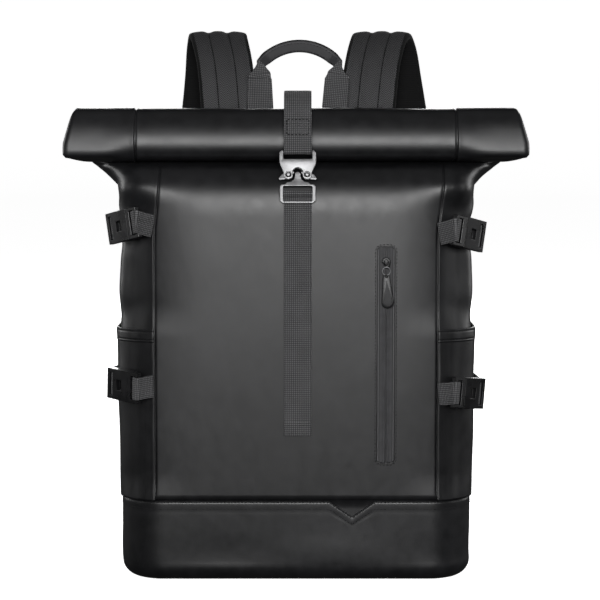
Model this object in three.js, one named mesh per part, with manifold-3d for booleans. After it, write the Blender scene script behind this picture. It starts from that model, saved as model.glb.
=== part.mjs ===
// Rolltop backpack, standing. Millimetres, +Z up, the front faces -Y, the origin is the middle of the base.
import * as THREE from 'three';
import { mergeVertices } from 'three/addons/utils/BufferGeometryUtils.js';
import Module from 'manifold-3d';

const wasm = await Module();
wasm.setup();

// gaps between pieces
const fit = 0.3; // between pieces that lie on each other
const slotRoom = 0.45; // around webbing in a slot

// bag body
const bodyWidth = 310;
const bodyDepth = 128;
const cornerRadius = 38;
const fabricWall = 1.5;
const shoulderHeight = 323; // where the gussets start to close
const seamInset = 32; // from the side to the front seams

// base boot
const bootHeight = 72;
const bootWall = 1.8;
const bootEdgeRadius = 14;
const notchWidth = 40;
const notchDepth = 14;
const notchX = 49;

// roll
const rollHeight = 50;
const rollDepth = 45;
const rollWidth = 406; // at its widest, the front of the roll
const rollRise = 67; // its centre above the shoulders
const rollSetback = 38; // its centre behind the front panel
const sheetGap = 0.8; // inside the flattened bag
const turnGap = 1.0; // between turns
const rollTurns = 2.25;

// side pockets
const pocketTop = 223;
const pocketWall = 1.4;
const pocketBulge = 2.0;

// front pocket's zip
const zipX = 78;
const zipWidth = 16;
const zipBottom = 106;
const zipTop = 295;
const zipTapeWall = 1.1;
const sliderDrop = 13.8; // the slider's middle below the window's top
const sliderWidth = 8.4;
const sliderHeight = 10;
const sliderWall = 2.2;
const ringRadius = 3.4;
const ringWire = 0.5;
const pullLength = 29;
const pullTopWidth = 7.3;
const pullBottomWidth = 10.8;
const pullWall = 1.8;
const pullLean = 4; // degrees

// webbing
const frontWebWidth = 24;
const frontWebWall = 1.5;
const sideWebWidth = 19.5;
const sideWebWall = 1.2;
const strapX = 1.5;
const strapEndHeight = 130;
const strapLift = 13; // of the closing strap above the top of the roll
const strapAnchorLength = 26;
const strapLead = 16; // of the closing strap above the housing's bar, in line with the clasp
const strapTuck = 14; // of its end behind the bar, and of its lower length below the shoulders

// clasp
const claspWidth = 31.8;
const claspDrop = 32.5; // the rivets below the roll's centre
const claspStandoff = 1.2; // the clasp's plane behind the front panel, at the rivets
const claspTilt = 14; // degrees, top leaning back
const claspWall = 4.8;
const plateWall = 1.4; // each cheek plate, and the layer between them
const rivetSpacing = 16.2;
const rivetRadius = 1.9;
const earReach = 8.5;
const slotBottom = 13.9; // above the rivets
const barTop = 21.3;
const barHeight = 3.6;
const barWall = 2.4;
const tongueTop = 2.5;
const tongueNeck = 4.9;
const frameTop = 8.6; // below the rivets
const frameBottom = 24.8;
const frameRail = 2;
const pinDrop = 16.5;
const pinRadius = 0.9;

// side straps and their buckles
const upperStrapHeight = 309.8;
const lowerStrapHeight = 170.4;
const strapStagger = 3.4; // the left straps sit higher and the right ones lower by this
const buckleAngle = 45; // degrees round the corner from the front
const buckleStandoff = 7.5;
const pocketBuckleRoom = 1.2;
const buckleWidth = 27;
const buckleWall = 8.6;
const prongLength = 11.3;
const socketLength = 29;

// handle
const handleX = 3;
const handleSpan = 71;
const handleRise = 16;
const handleTopHeight = 471.3; // the middle of the grip
const handleSection = 11.6;
const handleDepth = 14;
const tabSpacing = 69;
const tabWidth = 25;

// shoulder straps
const padWidth = 54;
const padWall = 12;
const padAnchorX = 67;
const padSpread = 44;
const padSway = 7.5; // how far both straps lean to the right
const padPeakRise = 158.5; // above the shoulders
const padDrop = 150; // below the shoulders
const padReach = 47; // behind the back
const adjusterWidth = 31;
const adjusterHeight = 22;
const adjusterWall = 3.6;
const anchorHeight = 30;
const anchorLength = 34;
const lowerWebTail = 44;

// worked out from the sizes above
const halfWidth = bodyWidth / 2;
const halfDepth = bodyDepth / 2;
const sheetWall = 2 * fabricWall + sheetGap;
const turnPitch = sheetWall + turnGap;
const rollZ = shoulderHeight + rollRise;
const rollY = -halfDepth + rollSetback;
const rad = THREE.MathUtils.degToRad;
const lerp = THREE.MathUtils.lerp;

const finishes = {
  coated: { color: 0x2f2f34, roughness: 0.62, metalness: 0 },
  webbing: { color: 0x464648, roughness: 0.85, metalness: 0 },
  plastic: { color: 0x121213, roughness: 0.4, metalness: 0 },
  steel: { color: 0xa6a6a9, roughness: 0.35, metalness: 1 },
  padding: { color: 0x38383c, roughness: 0.9, metalness: 0 },
};

const backpack = new THREE.Group();

function addPiece(parent, name, geometry, finish) {
  const mesh = new THREE.Mesh(geometry, new THREE.MeshStandardMaterial(finishes[finish]));
  mesh.name = name;
  parent.add(mesh);
  return mesh;
}

// turns the faces outwards, judged by the sign of the enclosed volume
function facingOut(geometry) {
  const at = geometry.attributes.position;
  const index = geometry.index.array;
  const [a, b, c] = [new THREE.Vector3(), new THREE.Vector3(), new THREE.Vector3()];
  let volume = 0;
  for (let i = 0; i < index.length; i += 3) {
    a.fromBufferAttribute(at, index[i]);
    b.fromBufferAttribute(at, index[i + 1]);
    c.fromBufferAttribute(at, index[i + 2]);
    volume += a.dot(b.cross(c));
  }
  if (volume < 0) {
    for (let i = 0; i < index.length; i += 3) [index[i], index[i + 1]] = [index[i + 1], index[i]];
  }
  return geometry;
}

// closed surface through rings of points, with a fan over the first ring and the last
function loft(rings) {
  const count = rings[0].length;
  const points = rings.flat();
  const index = [];
  for (let i = 0; i < rings.length - 1; i++) {
    for (let j = 0; j < count; j++) {
      const [a, b] = [i * count + j, i * count + (j + 1) % count];
      index.push(a, b, b + count, a, b + count, a + count);
    }
  }
  for (const [row, turned] of [[0, true], [rings.length - 1, false]]) {
    const middle = rings[row].reduce((sum, p) => sum.add(p), new THREE.Vector3()).divideScalar(count);
    points.push(middle);
    for (let j = 0; j < count; j++) {
      const [a, b] = [row * count + j, row * count + (j + 1) % count];
      index.push(points.length - 1, ...(turned ? [b, a] : [a, b]));
    }
  }
  const geometry = new THREE.BufferGeometry().setFromPoints(points);
  geometry.setIndex(index);
  return facingOut(geometry);
}

function toSolid(geometry) {
  const bare = geometry.clone();
  bare.deleteAttribute('normal');
  bare.deleteAttribute('uv');
  const merged = mergeVertices(bare, 1e-4);
  const vertProperties = new Float32Array(merged.attributes.position.array);
  const triVerts = new Uint32Array(merged.index.array);
  return new wasm.Manifold(new wasm.Mesh({ numProp: 3, vertProperties, triVerts }));
}

function toGeometry(solid) {
  const mesh = solid.getMesh();
  const geometry = new THREE.BufferGeometry();
  geometry.setAttribute('position', new THREE.BufferAttribute(new Float32Array(mesh.vertProperties), 3));
  geometry.setIndex(new THREE.BufferAttribute(new Uint32Array(mesh.triVerts), 1));
  return geometry;
}

const cut = (geometry, ...tools) =>
  toGeometry(tools.reduce((solid, tool) => solid.subtract(toSolid(tool)), toSolid(geometry)));
const join = (geometry, ...others) =>
  toGeometry(others.reduce((solid, other) => solid.add(toSolid(other)), toSolid(geometry)));

// block between two opposite corners
function block(x0, y0, z0, x1, y1, z1) {
  const geometry = new THREE.BoxGeometry(x1 - x0, y1 - y0, z1 - z0);
  return geometry.translate((x0 + x1) / 2, (y0 + y1) / 2, (z0 + z1) / 2);
}

// flat plate of an outline in XY, from one height to another
function plate(shape, from, to, curveSegments = 6) {
  const geometry = new THREE.ExtrudeGeometry(shape, { depth: to - from, bevelEnabled: false, curveSegments });
  return geometry.translate(0, 0, from);
}

// rounded rectangle between two corners
function roundedShape(x0, y0, x1, y1, radius) {
  const shape = new THREE.Shape();
  shape.absarc(x1 - radius, y0 + radius, radius, -Math.PI / 2, 0);
  shape.absarc(x1 - radius, y1 - radius, radius, 0, Math.PI / 2);
  shape.absarc(x0 + radius, y1 - radius, radius, Math.PI / 2, Math.PI);
  shape.absarc(x0 + radius, y0 + radius, radius, Math.PI, 1.5 * Math.PI);
  return shape;
}

// rod of a given radius along Z or, turned, along X
function rod(radius, from, to, sides = 12) {
  const geometry = new THREE.CylinderGeometry(radius, radius, to - from, sides);
  return geometry.rotateX(Math.PI / 2).translate(0, 0, (from + to) / 2);
}

// flat strip along stations of a point, the direction across and the width
function ribbon(stations, thickness) {
  const rings = stations.map(({ at, across, width }, i) => {
    const before = stations[Math.max(i - 1, 0)].at;
    const after = stations[Math.min(i + 1, stations.length - 1)].at;
    const side = across.clone().normalize().multiplyScalar(width / 2);
    const up = after.clone().sub(before).cross(across).normalize().multiplyScalar(thickness / 2);
    return [[1, 1], [-1, 1], [-1, -1], [1, -1]].map(([s, t]) =>
      at.clone().addScaledVector(side, s).addScaledVector(up, t));
  });
  return loft(rings);
}

// smooth curve through points, with a few samples between each two
const smooth = (points, between) =>
  new THREE.CatmullRomCurve3(points, false, 'centripetal').getPoints((points.length - 1) * between);

// value at a place in rows of [place, value], straight between the rows
function readTable(rows, place) {
  const next = Math.max(1, rows.findIndex((row) => row[0] >= place));
  const [[x0, y0], [x1, y1]] = place > rows.at(-1)[0] ? rows.slice(-2) : [rows[next - 1], rows[next]];
  return lerp(y0, y1, THREE.MathUtils.clamp((place - x0) / (x1 - x0), 0, 1));
}

// rounded rectangle as a ring of [across, deep] points, with one more in the middle of front and back
const cornerSteps = 4;
function sectionRing(halfAcross, halfDeep, radius) {
  const r = Math.min(radius, halfAcross, halfDeep);
  const ring = [];
  for (const [sx, sy, start] of [[1, -1, -90], [1, 1, 0], [-1, 1, 90], [-1, -1, 180]]) {
    for (let i = 0; i <= cornerSteps; i++) {
      const turn = rad(start + 90 * i / cornerSteps);
      ring.push([sx * (halfAcross - r) + r * Math.cos(turn), sy * (halfDeep - r) + r * Math.sin(turn)]);
    }
    if (sx === sy) ring.push([0, sy * halfDeep]);
  }
  return ring;
}

// level ring of the body, set in from the outside
const levelRing = (inset, z) =>
  sectionRing(halfWidth - inset, halfDepth - inset, cornerRadius - inset).map(([x, y]) => new THREE.Vector3(x, y, z));

// rings of the rounded bottom edge, set in from the outside, from the flat bottom up
function cupRings(inset) {
  const steps = 4;
  const r = bootEdgeRadius - inset;
  return Array.from({ length: steps + 1 }, (_, i) => {
    const turn = Math.PI / 2 * i / steps;
    return levelRing(inset + r * (1 - Math.sin(turn)), inset + r * (1 - Math.cos(turn)));
  });
}

// bag body: closed cup, gussets that close, and a flat sheet rolled forward
const turnSteps = 14;
const turnStep = 360 / turnSteps;
const neckSteps = 10;
const arcSteps = 5; // of the neck's steps, those where the front lies round the roll
const rollStart = -90 + arcSteps * turnStep; // degrees, from the back, over the top

// half width of the rolled sheet in shares of the roll's half width, by degrees round its first turn
const rollEnds = [[rollStart, 0.936], [90, 0.951], [135, 0.975], [180, 1], [215, 1], [235, 0.968], [252, 0.926],
  [270, 0.897], [310, 0.916]];
// how far the gusset has flared, by the share of the neck that is passed
const flare = [[0, 0], [0.1, 0.01], [0.2, 0.07], [0.3, 0.3], [0.4, 0.56], [0.5, 0.76], [0.6, 0.88], [0.8, 0.96],
  [1, 1]];

// point of the spiral at an angle, at a depth below the sheet's outer face
function spiralPoint(degrees, depth) {
  const inset = turnPitch * (degrees - rollStart) / 360 + depth;
  const turn = rad(degrees);
  return new THREE.Vector2(
    rollY + (rollDepth / 2 - inset) * Math.cos(turn),
    rollZ + (rollHeight / 2 - inset) * Math.sin(turn),
  );
}

const underRoll = spiralPoint(-90, sheetWall);
const sheetStart = spiralPoint(rollStart, 0);
const frontNeck = new THREE.CubicBezierCurve(
  new THREE.Vector2(-halfDepth, shoulderHeight),
  new THREE.Vector2(-halfDepth, lerp(shoulderHeight, underRoll.y, 0.75)),
  new THREE.Vector2(lerp(-halfDepth, underRoll.x, 0.42), underRoll.y),
  underRoll,
);
const backNeck = new THREE.CubicBezierCurve(
  new THREE.Vector2(halfDepth, shoulderHeight),
  new THREE.Vector2(halfDepth, lerp(shoulderHeight, rollZ, 0.33)),
  sheetStart.clone().add(new THREE.Vector2(Math.sin(rad(rollStart)), -Math.cos(rad(rollStart))).multiplyScalar(
    rollHeight * 0.6)),
  sheetStart,
);

// sections as front and back points in the YZ plane with a half width
function bagSections() {
  const sections = [];
  const flatHalf = rollWidth / 2;
  for (let k = 1; k <= neckSteps; k++) {
    const arcStep = k - (neckSteps - arcSteps);
    const front = arcStep <= 0
      ? frontNeck.getPoint(k / (neckSteps - arcSteps))
      : spiralPoint(-90 + arcStep * turnStep, sheetWall);
    const half = lerp(halfWidth, flatHalf * rollEnds[0][1], readTable(flare, k / neckSteps));
    sections.push({ front, back: backNeck.getPoint(k / neckSteps), half });
  }
  const last = Math.round(rollTurns * turnSteps);
  for (let k = 1; k <= last; k++) {
    const angle = rollStart + k * turnStep;
    const half = flatHalf * readTable(rollEnds, angle);
    sections.push({ front: spiralPoint(angle, sheetWall), back: spiralPoint(angle, 0), half });
  }
  return sections;
}

// a section's ring, a wall further in for the inside
function sectionPoints({ front, back, half }, inset) {
  const middle = front.clone().add(back).multiplyScalar(0.5);
  const deep = back.clone().sub(front).multiplyScalar(0.5);
  const halfDeep = deep.length();
  deep.normalize();
  return sectionRing(half - inset, halfDeep - inset, Math.min(cornerRadius, halfDeep) - inset)
    .map(([u, v]) => new THREE.Vector3(u, middle.x + deep.x * v, middle.y + deep.y * v));
}

const zipCentre = new THREE.Vector3(zipX, -halfDepth, (zipTop + zipBottom) / 2);

// upright rounded block through the front panel at the zip
function zipBlock(grow, front, back) {
  const [w, h] = [zipWidth / 2 + grow, (zipTop - zipBottom) / 2 + grow];
  return plate(roundedShape(-w, -h, w, h, 3 + grow), -back, -front).rotateX(Math.PI / 2)
    .translate(zipCentre.x, 0, zipCentre.z);
}

function bodyShell() {
  const bootInset = bootWall + fit;
  const stepRise = 4; // the height over which the shell widens above the boot
  const skin = (inset) => [
    ...cupRings(bootInset + inset),
    levelRing(bootInset + inset, bootHeight + fit),
    levelRing(inset, bootHeight + fit + stepRise),
    levelRing(inset, shoulderHeight),
    ...bagSections().map((section) => sectionPoints(section, inset)),
  ];
  const shell = loft([...skin(0), ...skin(fabricWall).reverse()]);
  return cut(shell, zipBlock(fit, -halfDepth - fabricWall, -halfDepth + 2 * fabricWall));
}

function baseBoot() {
  const outside = [...cupRings(0), levelRing(0, bootHeight)];
  const inside = [...cupRings(bootWall), levelRing(bootWall, bootHeight)];
  const notch = new THREE.Shape([
    new THREE.Vector2(notchX - notchWidth / 2 - notchWidth / notchDepth, bootHeight + 2),
    new THREE.Vector2(notchX, bootHeight - notchDepth),
    new THREE.Vector2(notchX + notchWidth / 2 + notchWidth / notchDepth, bootHeight + 2),
  ]);
  const wedge = plate(notch, halfDepth - 3 * bootWall, halfDepth + bootWall).rotateX(Math.PI / 2);
  return cut(loft([...outside, ...inside.reverse()]), wedge);
}

addPiece(backpack, 'body_shell', bodyShell(), 'coated');
addPiece(backpack, 'base_boot', baseBoot(), 'coated');

// the body's side in plan, from the front seam round the side to the back corner; ways are measured from where
// the front corner's arc starts, and the seam lies before it or on it
const cornerArc = Math.PI / 2 * cornerRadius;
const sideFlat = bodyDepth - 2 * cornerRadius;
const seamWay = seamInset < cornerRadius
  ? cornerRadius * Math.asin((cornerRadius - seamInset) / cornerRadius)
  : cornerRadius - seamInset;
const sideRun = cornerArc + sideFlat + cornerArc / 2 - seamWay;

// point at a share of the way from the seam, set out from the body
function sideWall(side, share, out) {
  const way = seamWay + share * sideRun;
  const [cx, cy] = [halfWidth - cornerRadius, halfDepth - cornerRadius];
  const radius = cornerRadius + out;
  let point;
  if (way < 0) {
    point = [cx + way, -cy - radius];
  } else if (way < cornerArc) {
    const turn = way / cornerRadius;
    point = [cx + radius * Math.sin(turn), -cy - radius * Math.cos(turn)];
  } else if (way < cornerArc + sideFlat) {
    point = [cx + radius, -cy + way - cornerArc];
  } else {
    const turn = (way - cornerArc - sideFlat) / cornerRadius;
    point = [cx + radius * Math.cos(turn), cy + radius * Math.sin(turn)];
  }
  return new THREE.Vector3(side * point[0], point[1], 0);
}

// shares of that way where the body's own section has its corners, so that what lies on it keeps clear
function sideShares() {
  const arcs = (count, start) => Array.from({ length: count + 1 }, (_, i) => start + cornerArc * i / cornerSteps);
  const corners = [...arcs(cornerSteps, 0), cornerArc + sideFlat / 2, ...arcs(cornerSteps / 2, cornerArc + sideFlat)];
  return [seamWay, ...corners.filter((way) => way > seamWay)].map((way) => (way - seamWay) / sideRun);
}

const pocketBase = bootHeight + fit;
// gap between body and pocket, which grows towards the middle of its top edge
function pocketGap(share, z) {
  const up = THREE.MathUtils.clamp((z - pocketBase) / (pocketTop - pocketBase), 0, 1);
  return fit + pocketBulge * up * Math.sin(Math.PI * share);
}

function sidePocket(side) {
  const levels = [0, 0.5, 1].map((up) => lerp(pocketBase, pocketTop, up));
  return loft(sideShares().map((share) => {
    const inner = levels.map((z) => sideWall(side, share, pocketGap(share, z)).setZ(z));
    const outer = levels.map((z) => sideWall(side, share, pocketGap(share, z) + pocketWall).setZ(z));
    return [...inner, ...outer.reverse()];
  }));
}

addPiece(backpack, 'side_pocket_left', sidePocket(-1), 'coated');
addPiece(backpack, 'side_pocket_right', sidePocket(1), 'coated');

// zip: tape in the window with a groove for the teeth, slider, ring and pull
const tapeFront = -halfDepth + fit;
const sliderZ = zipTop - sliderDrop;
const hingeEye = 1.0; // radius of the eyes that the ring passes through
const hingeRim = 0.75;
const ringY = tapeFront - fit - sliderWall - hingeEye;
const ringZ = sliderZ - sliderHeight / 2 - ringRadius + 1.5;

function zipTape() {
  const groove = block(zipX - 0.5, tapeFront - 1, zipBottom + 2, zipX + 0.5, tapeFront + zipTapeWall / 2, zipTop - 2);
  return cut(zipBlock(0, tapeFront, tapeFront + zipTapeWall), groove);
}

// eye along X with its bore, for the ring to pass through
function eye(width, y, z) {
  return {
    rim: rod(hingeEye + hingeRim, -width / 2, width / 2).rotateY(Math.PI / 2).translate(zipX, y, z),
    bore: rod(hingeEye, -width, width).rotateY(Math.PI / 2).translate(zipX, y, z),
  };
}

function zipSlider() {
  const outline = new THREE.Shape();
  const [w, h] = [sliderWidth / 2, sliderHeight / 2];
  outline.moveTo(-w * 0.55, -h);
  outline.lineTo(w * 0.55, -h);
  outline.lineTo(w, h * 0.1);
  outline.absarc(0, h - w, w, 0, Math.PI);
  const body = plate(outline, -tapeFront + fit, -tapeFront + fit + sliderWall).rotateX(Math.PI / 2)
    .translate(zipX, 0, sliderZ);
  const { rim, bore } = eye(2.4, ringY, ringZ + ringRadius);
  const seat = block(zipX - 1.2, ringY, ringZ + ringRadius + hingeEye, zipX + 1.2, tapeFront - fit - sliderWall / 2,
    ringZ + ringRadius + hingeEye + hingeRim + 1);
  return cut(join(body, rim, seat), bore);
}

function zipPull() {
  const top = ringZ - ringRadius;
  const [a, b] = [pullTopWidth / 2, pullBottomWidth / 2];
  const outline = new THREE.Shape();
  outline.moveTo(-a, -2.4);
  outline.lineTo(-b, -pullLength + b);
  outline.absarc(0, -pullLength + b, b, Math.PI, 2 * Math.PI);
  outline.lineTo(a, -2.4);
  outline.lineTo(1.3, -1);
  outline.lineTo(-1.3, -1);
  const tab = plate(outline, -pullWall / 2, pullWall / 2).rotateX(Math.PI / 2).rotateY(-rad(pullLean))
    .translate(zipX, ringY, top);
  const { rim, bore } = eye(2.4, ringY, top);
  return cut(join(tab, rim), bore);
}

addPiece(backpack, 'zip_window', zipTape(), 'coated');
addPiece(backpack, 'zip_slider', zipSlider(), 'plastic');
addPiece(backpack, 'zip_ring', new THREE.TorusGeometry(ringRadius, ringWire, 6, 16).rotateX(Math.PI / 2)
  .translate(zipX, ringY, ringZ), 'steel');
addPiece(backpack, 'zip_pull', zipPull(), 'plastic');

// clasp, in a group whose X runs across, Y up its face and Z outwards, with its origin between the rivets
const clasp = new THREE.Group();
clasp.position.set(strapX, -halfDepth + claspStandoff, rollZ - claspDrop);
clasp.rotation.x = Math.PI / 2 - rad(claspTilt);
backpack.add(clasp);
clasp.updateMatrixWorld();
const claspPoint = (w, n) => clasp.localToWorld(new THREE.Vector3(0, w, n));

const layer = plateWall / 2; // half the layer between the cheek plates
const lobeRadius = 4.4;
const rivetX = rivetSpacing / 2;

function claspHousing() {
  const half = claspWidth / 2;
  const outline = new THREE.Shape();
  outline.moveTo(-half, 9);
  outline.lineTo(-rivetX - lobeRadius * 0.9, 1.7);
  outline.absarc(-rivetX, 0, lobeRadius, rad(157), rad(335));
  outline.lineTo(-tongueNeck / 2 - 1.75, 1);
  outline.absarc(0, 1, tongueNeck / 2 + 1.75, Math.PI, 0, true);
  outline.absarc(rivetX, 0, lobeRadius, rad(205), rad(383));
  outline.lineTo(half, 9);
  outline.lineTo(half, barTop - 2);
  outline.lineTo(half - 2, barTop);
  outline.lineTo(-half + 2, barTop);
  outline.lineTo(-half, barTop - 2);
  const webHalf = frontWebWidth / 2 + slotRoom;
  const slot = block(-webHalf, slotBottom, -claspWall, webHalf, barTop - barHeight, claspWall);
  const thinBar = [1, -1].map((s) => block(-webHalf, slotBottom, Math.min(s * barWall / 2, s * claspWall), webHalf,
    barTop + 1, Math.max(s * barWall / 2, s * claspWall)));
  const inside = block(-claspWidth, -2 * lobeRadius, -layer - fit, claspWidth, 7.6, layer + fit);
  const holes = [-1, 1].map((s) => rod(rivetRadius + 0.5, -claspWall, claspWall).translate(s * rivetX, 0, 0));
  return cut(plate(outline, -claspWall / 2, claspWall / 2, 5), slot, ...thinBar, inside, ...holes);
}

// lever of the right side, about its rivet; the left one is its mirror image
function claspLever(side) {
  const outline = new THREE.Shape();
  outline.moveTo(2.6, 2.6);
  outline.lineTo(earReach - 1.6, 0.2);
  outline.lineTo(earReach, -3.3);
  outline.lineTo(earReach - 1.2, -4.6);
  outline.lineTo(3, -3.4);
  outline.absarc(0, 0, lobeRadius * 0.85, rad(-60), rad(-160), true);
  outline.lineTo(tongueNeck / 2 + fit + 0.1 - rivetX, 1);
  outline.lineTo(tongueNeck / 2 + fit + 0.1 - rivetX, 2.4);
  outline.lineTo(-2.2, 3.4);
  const hole = rod(rivetRadius + fit, -claspWall, claspWall);
  const lever = cut(plate(outline, -layer, layer, 5), hole);
  return side < 0 ? toGeometry(toSolid(lever).mirror([1, 0, 0])) : lever;
}

function claspTongue() {
  const half = claspWidth / 2 - 0.4;
  const neck = tongueNeck / 2;
  const outline = new THREE.Shape();
  outline.moveTo(-half + 2, -frameBottom);
  outline.lineTo(half - 2, -frameBottom);
  outline.lineTo(half, -frameBottom + 2);
  outline.lineTo(half, -frameTop - 2);
  outline.lineTo(half - 2, -frameTop);
  outline.lineTo(rivetX, -frameTop + 2);
  outline.lineTo(neck + 2, -frameTop + 2.6);
  outline.lineTo(neck, -frameTop + 5);
  outline.absarc(0, tongueTop - neck, neck, 0, Math.PI);
  outline.lineTo(-neck, -frameTop + 5);
  outline.lineTo(-neck - 2, -frameTop + 2.6);
  outline.lineTo(-rivetX, -frameTop + 2);
  outline.lineTo(-half + 2, -frameTop);
  outline.lineTo(-half, -frameTop - 2);
  outline.lineTo(-half, -frameBottom + 2);
  const webHalf = frontWebWidth / 2 + slotRoom;
  const window = block(-webHalf, -frameBottom + frameRail, -claspWall, webHalf, -frameTop - frameRail, claspWall);
  const pin = rod(pinRadius, -half + 1, half - 1, 8).rotateY(Math.PI / 2).translate(0, -pinDrop, -pinRadius);
  const lugs = [-1, 1].map((s) => block(Math.min(s * webHalf, s * (half - 1)), -pinDrop - 1.4, -2 * pinRadius,
    Math.max(s * webHalf, s * (half - 1)), -pinDrop + 1.4, 0));
  return join(cut(plate(outline, -layer, layer, 4), window), pin, ...lugs);
}

addPiece(clasp, 'clasp_housing', claspHousing(), 'steel');
addPiece(clasp, 'clasp_tongue', claspTongue(), 'steel');
for (const [name, side] of [['left', -1], ['right', 1]]) {
  const lever = addPiece(clasp, `clasp_lever_${name}`, claspLever(side), 'steel');
  lever.position.x = side * rivetX;
  const rivet = addPiece(clasp, `clasp_rivet_${name}`, rod(rivetRadius, -claspWall / 2, claspWall / 2), 'steel');
  rivet.position.x = side * rivetX;
}

// closing strap: over the roll to the housing's bar, and from the tongue's pin down the front
const acrossX = new THREE.Vector3(1, 0, 0);
const webStations = (points, width) => points.map((at) => ({ at, across: acrossX, width }));

// half loop of webbing round a bar, from its front over the given side to its back
function barLoop(w, n, reachW, reachN, side) {
  const steps = 6;
  return Array.from({ length: steps + 1 }, (_, i) => {
    const turn = Math.PI * i / steps;
    return claspPoint(w + side * reachW * Math.sin(turn), n + reachN * Math.cos(turn));
  });
}

function upperStrap() {
  const halfWall = frontWebWall / 2;
  const lie = fit + halfWall;
  const points = [];
  for (const drop of [strapAnchorLength, strapAnchorLength / 2, 0]) {
    points.push(new THREE.Vector3(strapX, halfDepth + lie, shoulderHeight - drop));
  }
  for (const share of [0.15, 0.3, 0.45, 0.6, 0.85]) {
    const at = backNeck.getPoint(share);
    const along = backNeck.getTangent(share);
    const out = lie + strapLift * (0.06 + 0.42 * share * share);
    points.push(new THREE.Vector3(strapX, at.x + along.y * out, at.y - along.x * out));
  }
  for (const angle of [50, 70, 90, 110, 130, 150]) {
    const out = lie + strapLift * Math.sin(rad(angle)) ** 2;
    points.push(new THREE.Vector3(strapX, rollY + (rollDepth / 2 + out) * Math.cos(rad(angle)),
      rollZ + (rollHeight / 2 + out) * Math.sin(rad(angle))));
  }
  const barMiddle = barTop - barHeight / 2;
  const room = 2 * slotRoom + halfWall;
  points.push(claspPoint(barTop + strapLead, 1.2), claspPoint(barTop + strapLead / 2, 1.4));
  const route = smooth(points, 2);
  route.push(...barLoop(barMiddle, 0, barHeight / 2 + room, barWall / 2 + room, -1));
  route.push(claspPoint(barTop + strapTuck / 2, -1.5), claspPoint(barTop + strapTuck, -1.2));
  return ribbon(webStations(route, frontWebWidth), frontWebWall);
}

function lowerStrap() {
  const halfWall = frontWebWall / 2;
  const room = pinRadius + slotRoom + halfWall;
  const loop = barLoop(-pinDrop, -pinRadius, room, room, 1).reverse();
  const lie = -halfDepth - fit - halfWall;
  const down = [
    claspPoint(-pinDrop - 1.4, -pinRadius + room * 0.75),
    claspPoint(-frameBottom + frameRail + slotRoom, -layer - slotRoom - halfWall - 0.2),
    claspPoint(-frameBottom - 3, -layer - slotRoom - halfWall),
    new THREE.Vector3(strapX, lie - 0.4, shoulderHeight),
    new THREE.Vector3(strapX, lie, shoulderHeight - strapTuck),
    new THREE.Vector3(strapX, lie, strapEndHeight),
  ];
  const tail = claspPoint(-pinDrop - 1, -pinRadius - room);
  return ribbon(webStations([tail, ...loop, ...down], frontWebWidth), frontWebWall);
}

addPiece(backpack, 'front_strap_upper', upperStrap(), 'webbing');
addPiece(backpack, 'front_strap_lower', lowerStrap(), 'webbing');

// side-release buckle, along X from the prongs' end to the socket's, Y across and Z outwards
const buckleStart = -(prongLength + socketLength) / 2;
const meetX = buckleStart + prongLength; // where the two halves meet
const buckleEnd = buckleStart + prongLength + socketLength;
const webSlot = 4.4;
const endBar = 3.2;
const cavityWall = 1.8;
const endTaper = 0.55; // the ends' height as a share of the middle's

// half of the buckle's body, with a height share at each end
function bucklePart(x0, x1, share0, share1) {
  const h = buckleWall / 2;
  const side = new THREE.Shape([
    new THREE.Vector2(x0, -h * share0), new THREE.Vector2(x1, -h * share1),
    new THREE.Vector2(x1, h * share1), new THREE.Vector2(x0, h * share0),
  ]);
  return plate(side, -buckleWidth / 2, buckleWidth / 2).rotateX(Math.PI / 2);
}

function buckleProng() {
  const webHalf = sideWebWidth / 2 + slotRoom;
  const base = bucklePart(buckleStart, meetX - fit, endTaper, 1);
  const slot = block(buckleStart + endBar, -webHalf, -buckleWall, buckleStart + endBar + webSlot, webHalf, buckleWall);
  const arms = [-1, 1].map((s) => block(meetX - 1, Math.min(s * 4, s * 8.6), -buckleWall / 2 + cavityWall + fit,
    meetX + socketLength * 0.42, Math.max(s * 4, s * 8.6), buckleWall / 2 - cavityWall - fit));
  return cut(join(base, ...arms), slot);
}

function buckleSocket() {
  const webHalf = sideWebWidth / 2 + slotRoom;
  const body = bucklePart(meetX, buckleEnd, 1, endTaper);
  const cavity = block(meetX - 1, -buckleWidth / 2 + cavityWall, -buckleWall / 2 + cavityWall,
    meetX + socketLength * 0.62, buckleWidth / 2 - cavityWall, buckleWall / 2 - cavityWall);
  const window = block(meetX + socketLength * 0.3, -4.6, 0, meetX + socketLength * 0.55, 4.6, buckleWall);
  const slot = block(buckleEnd - endBar - webSlot, -webHalf, -buckleWall, buckleEnd - endBar, webHalf, buckleWall);
  return cut(body, cavity, window, slot);
}

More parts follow.
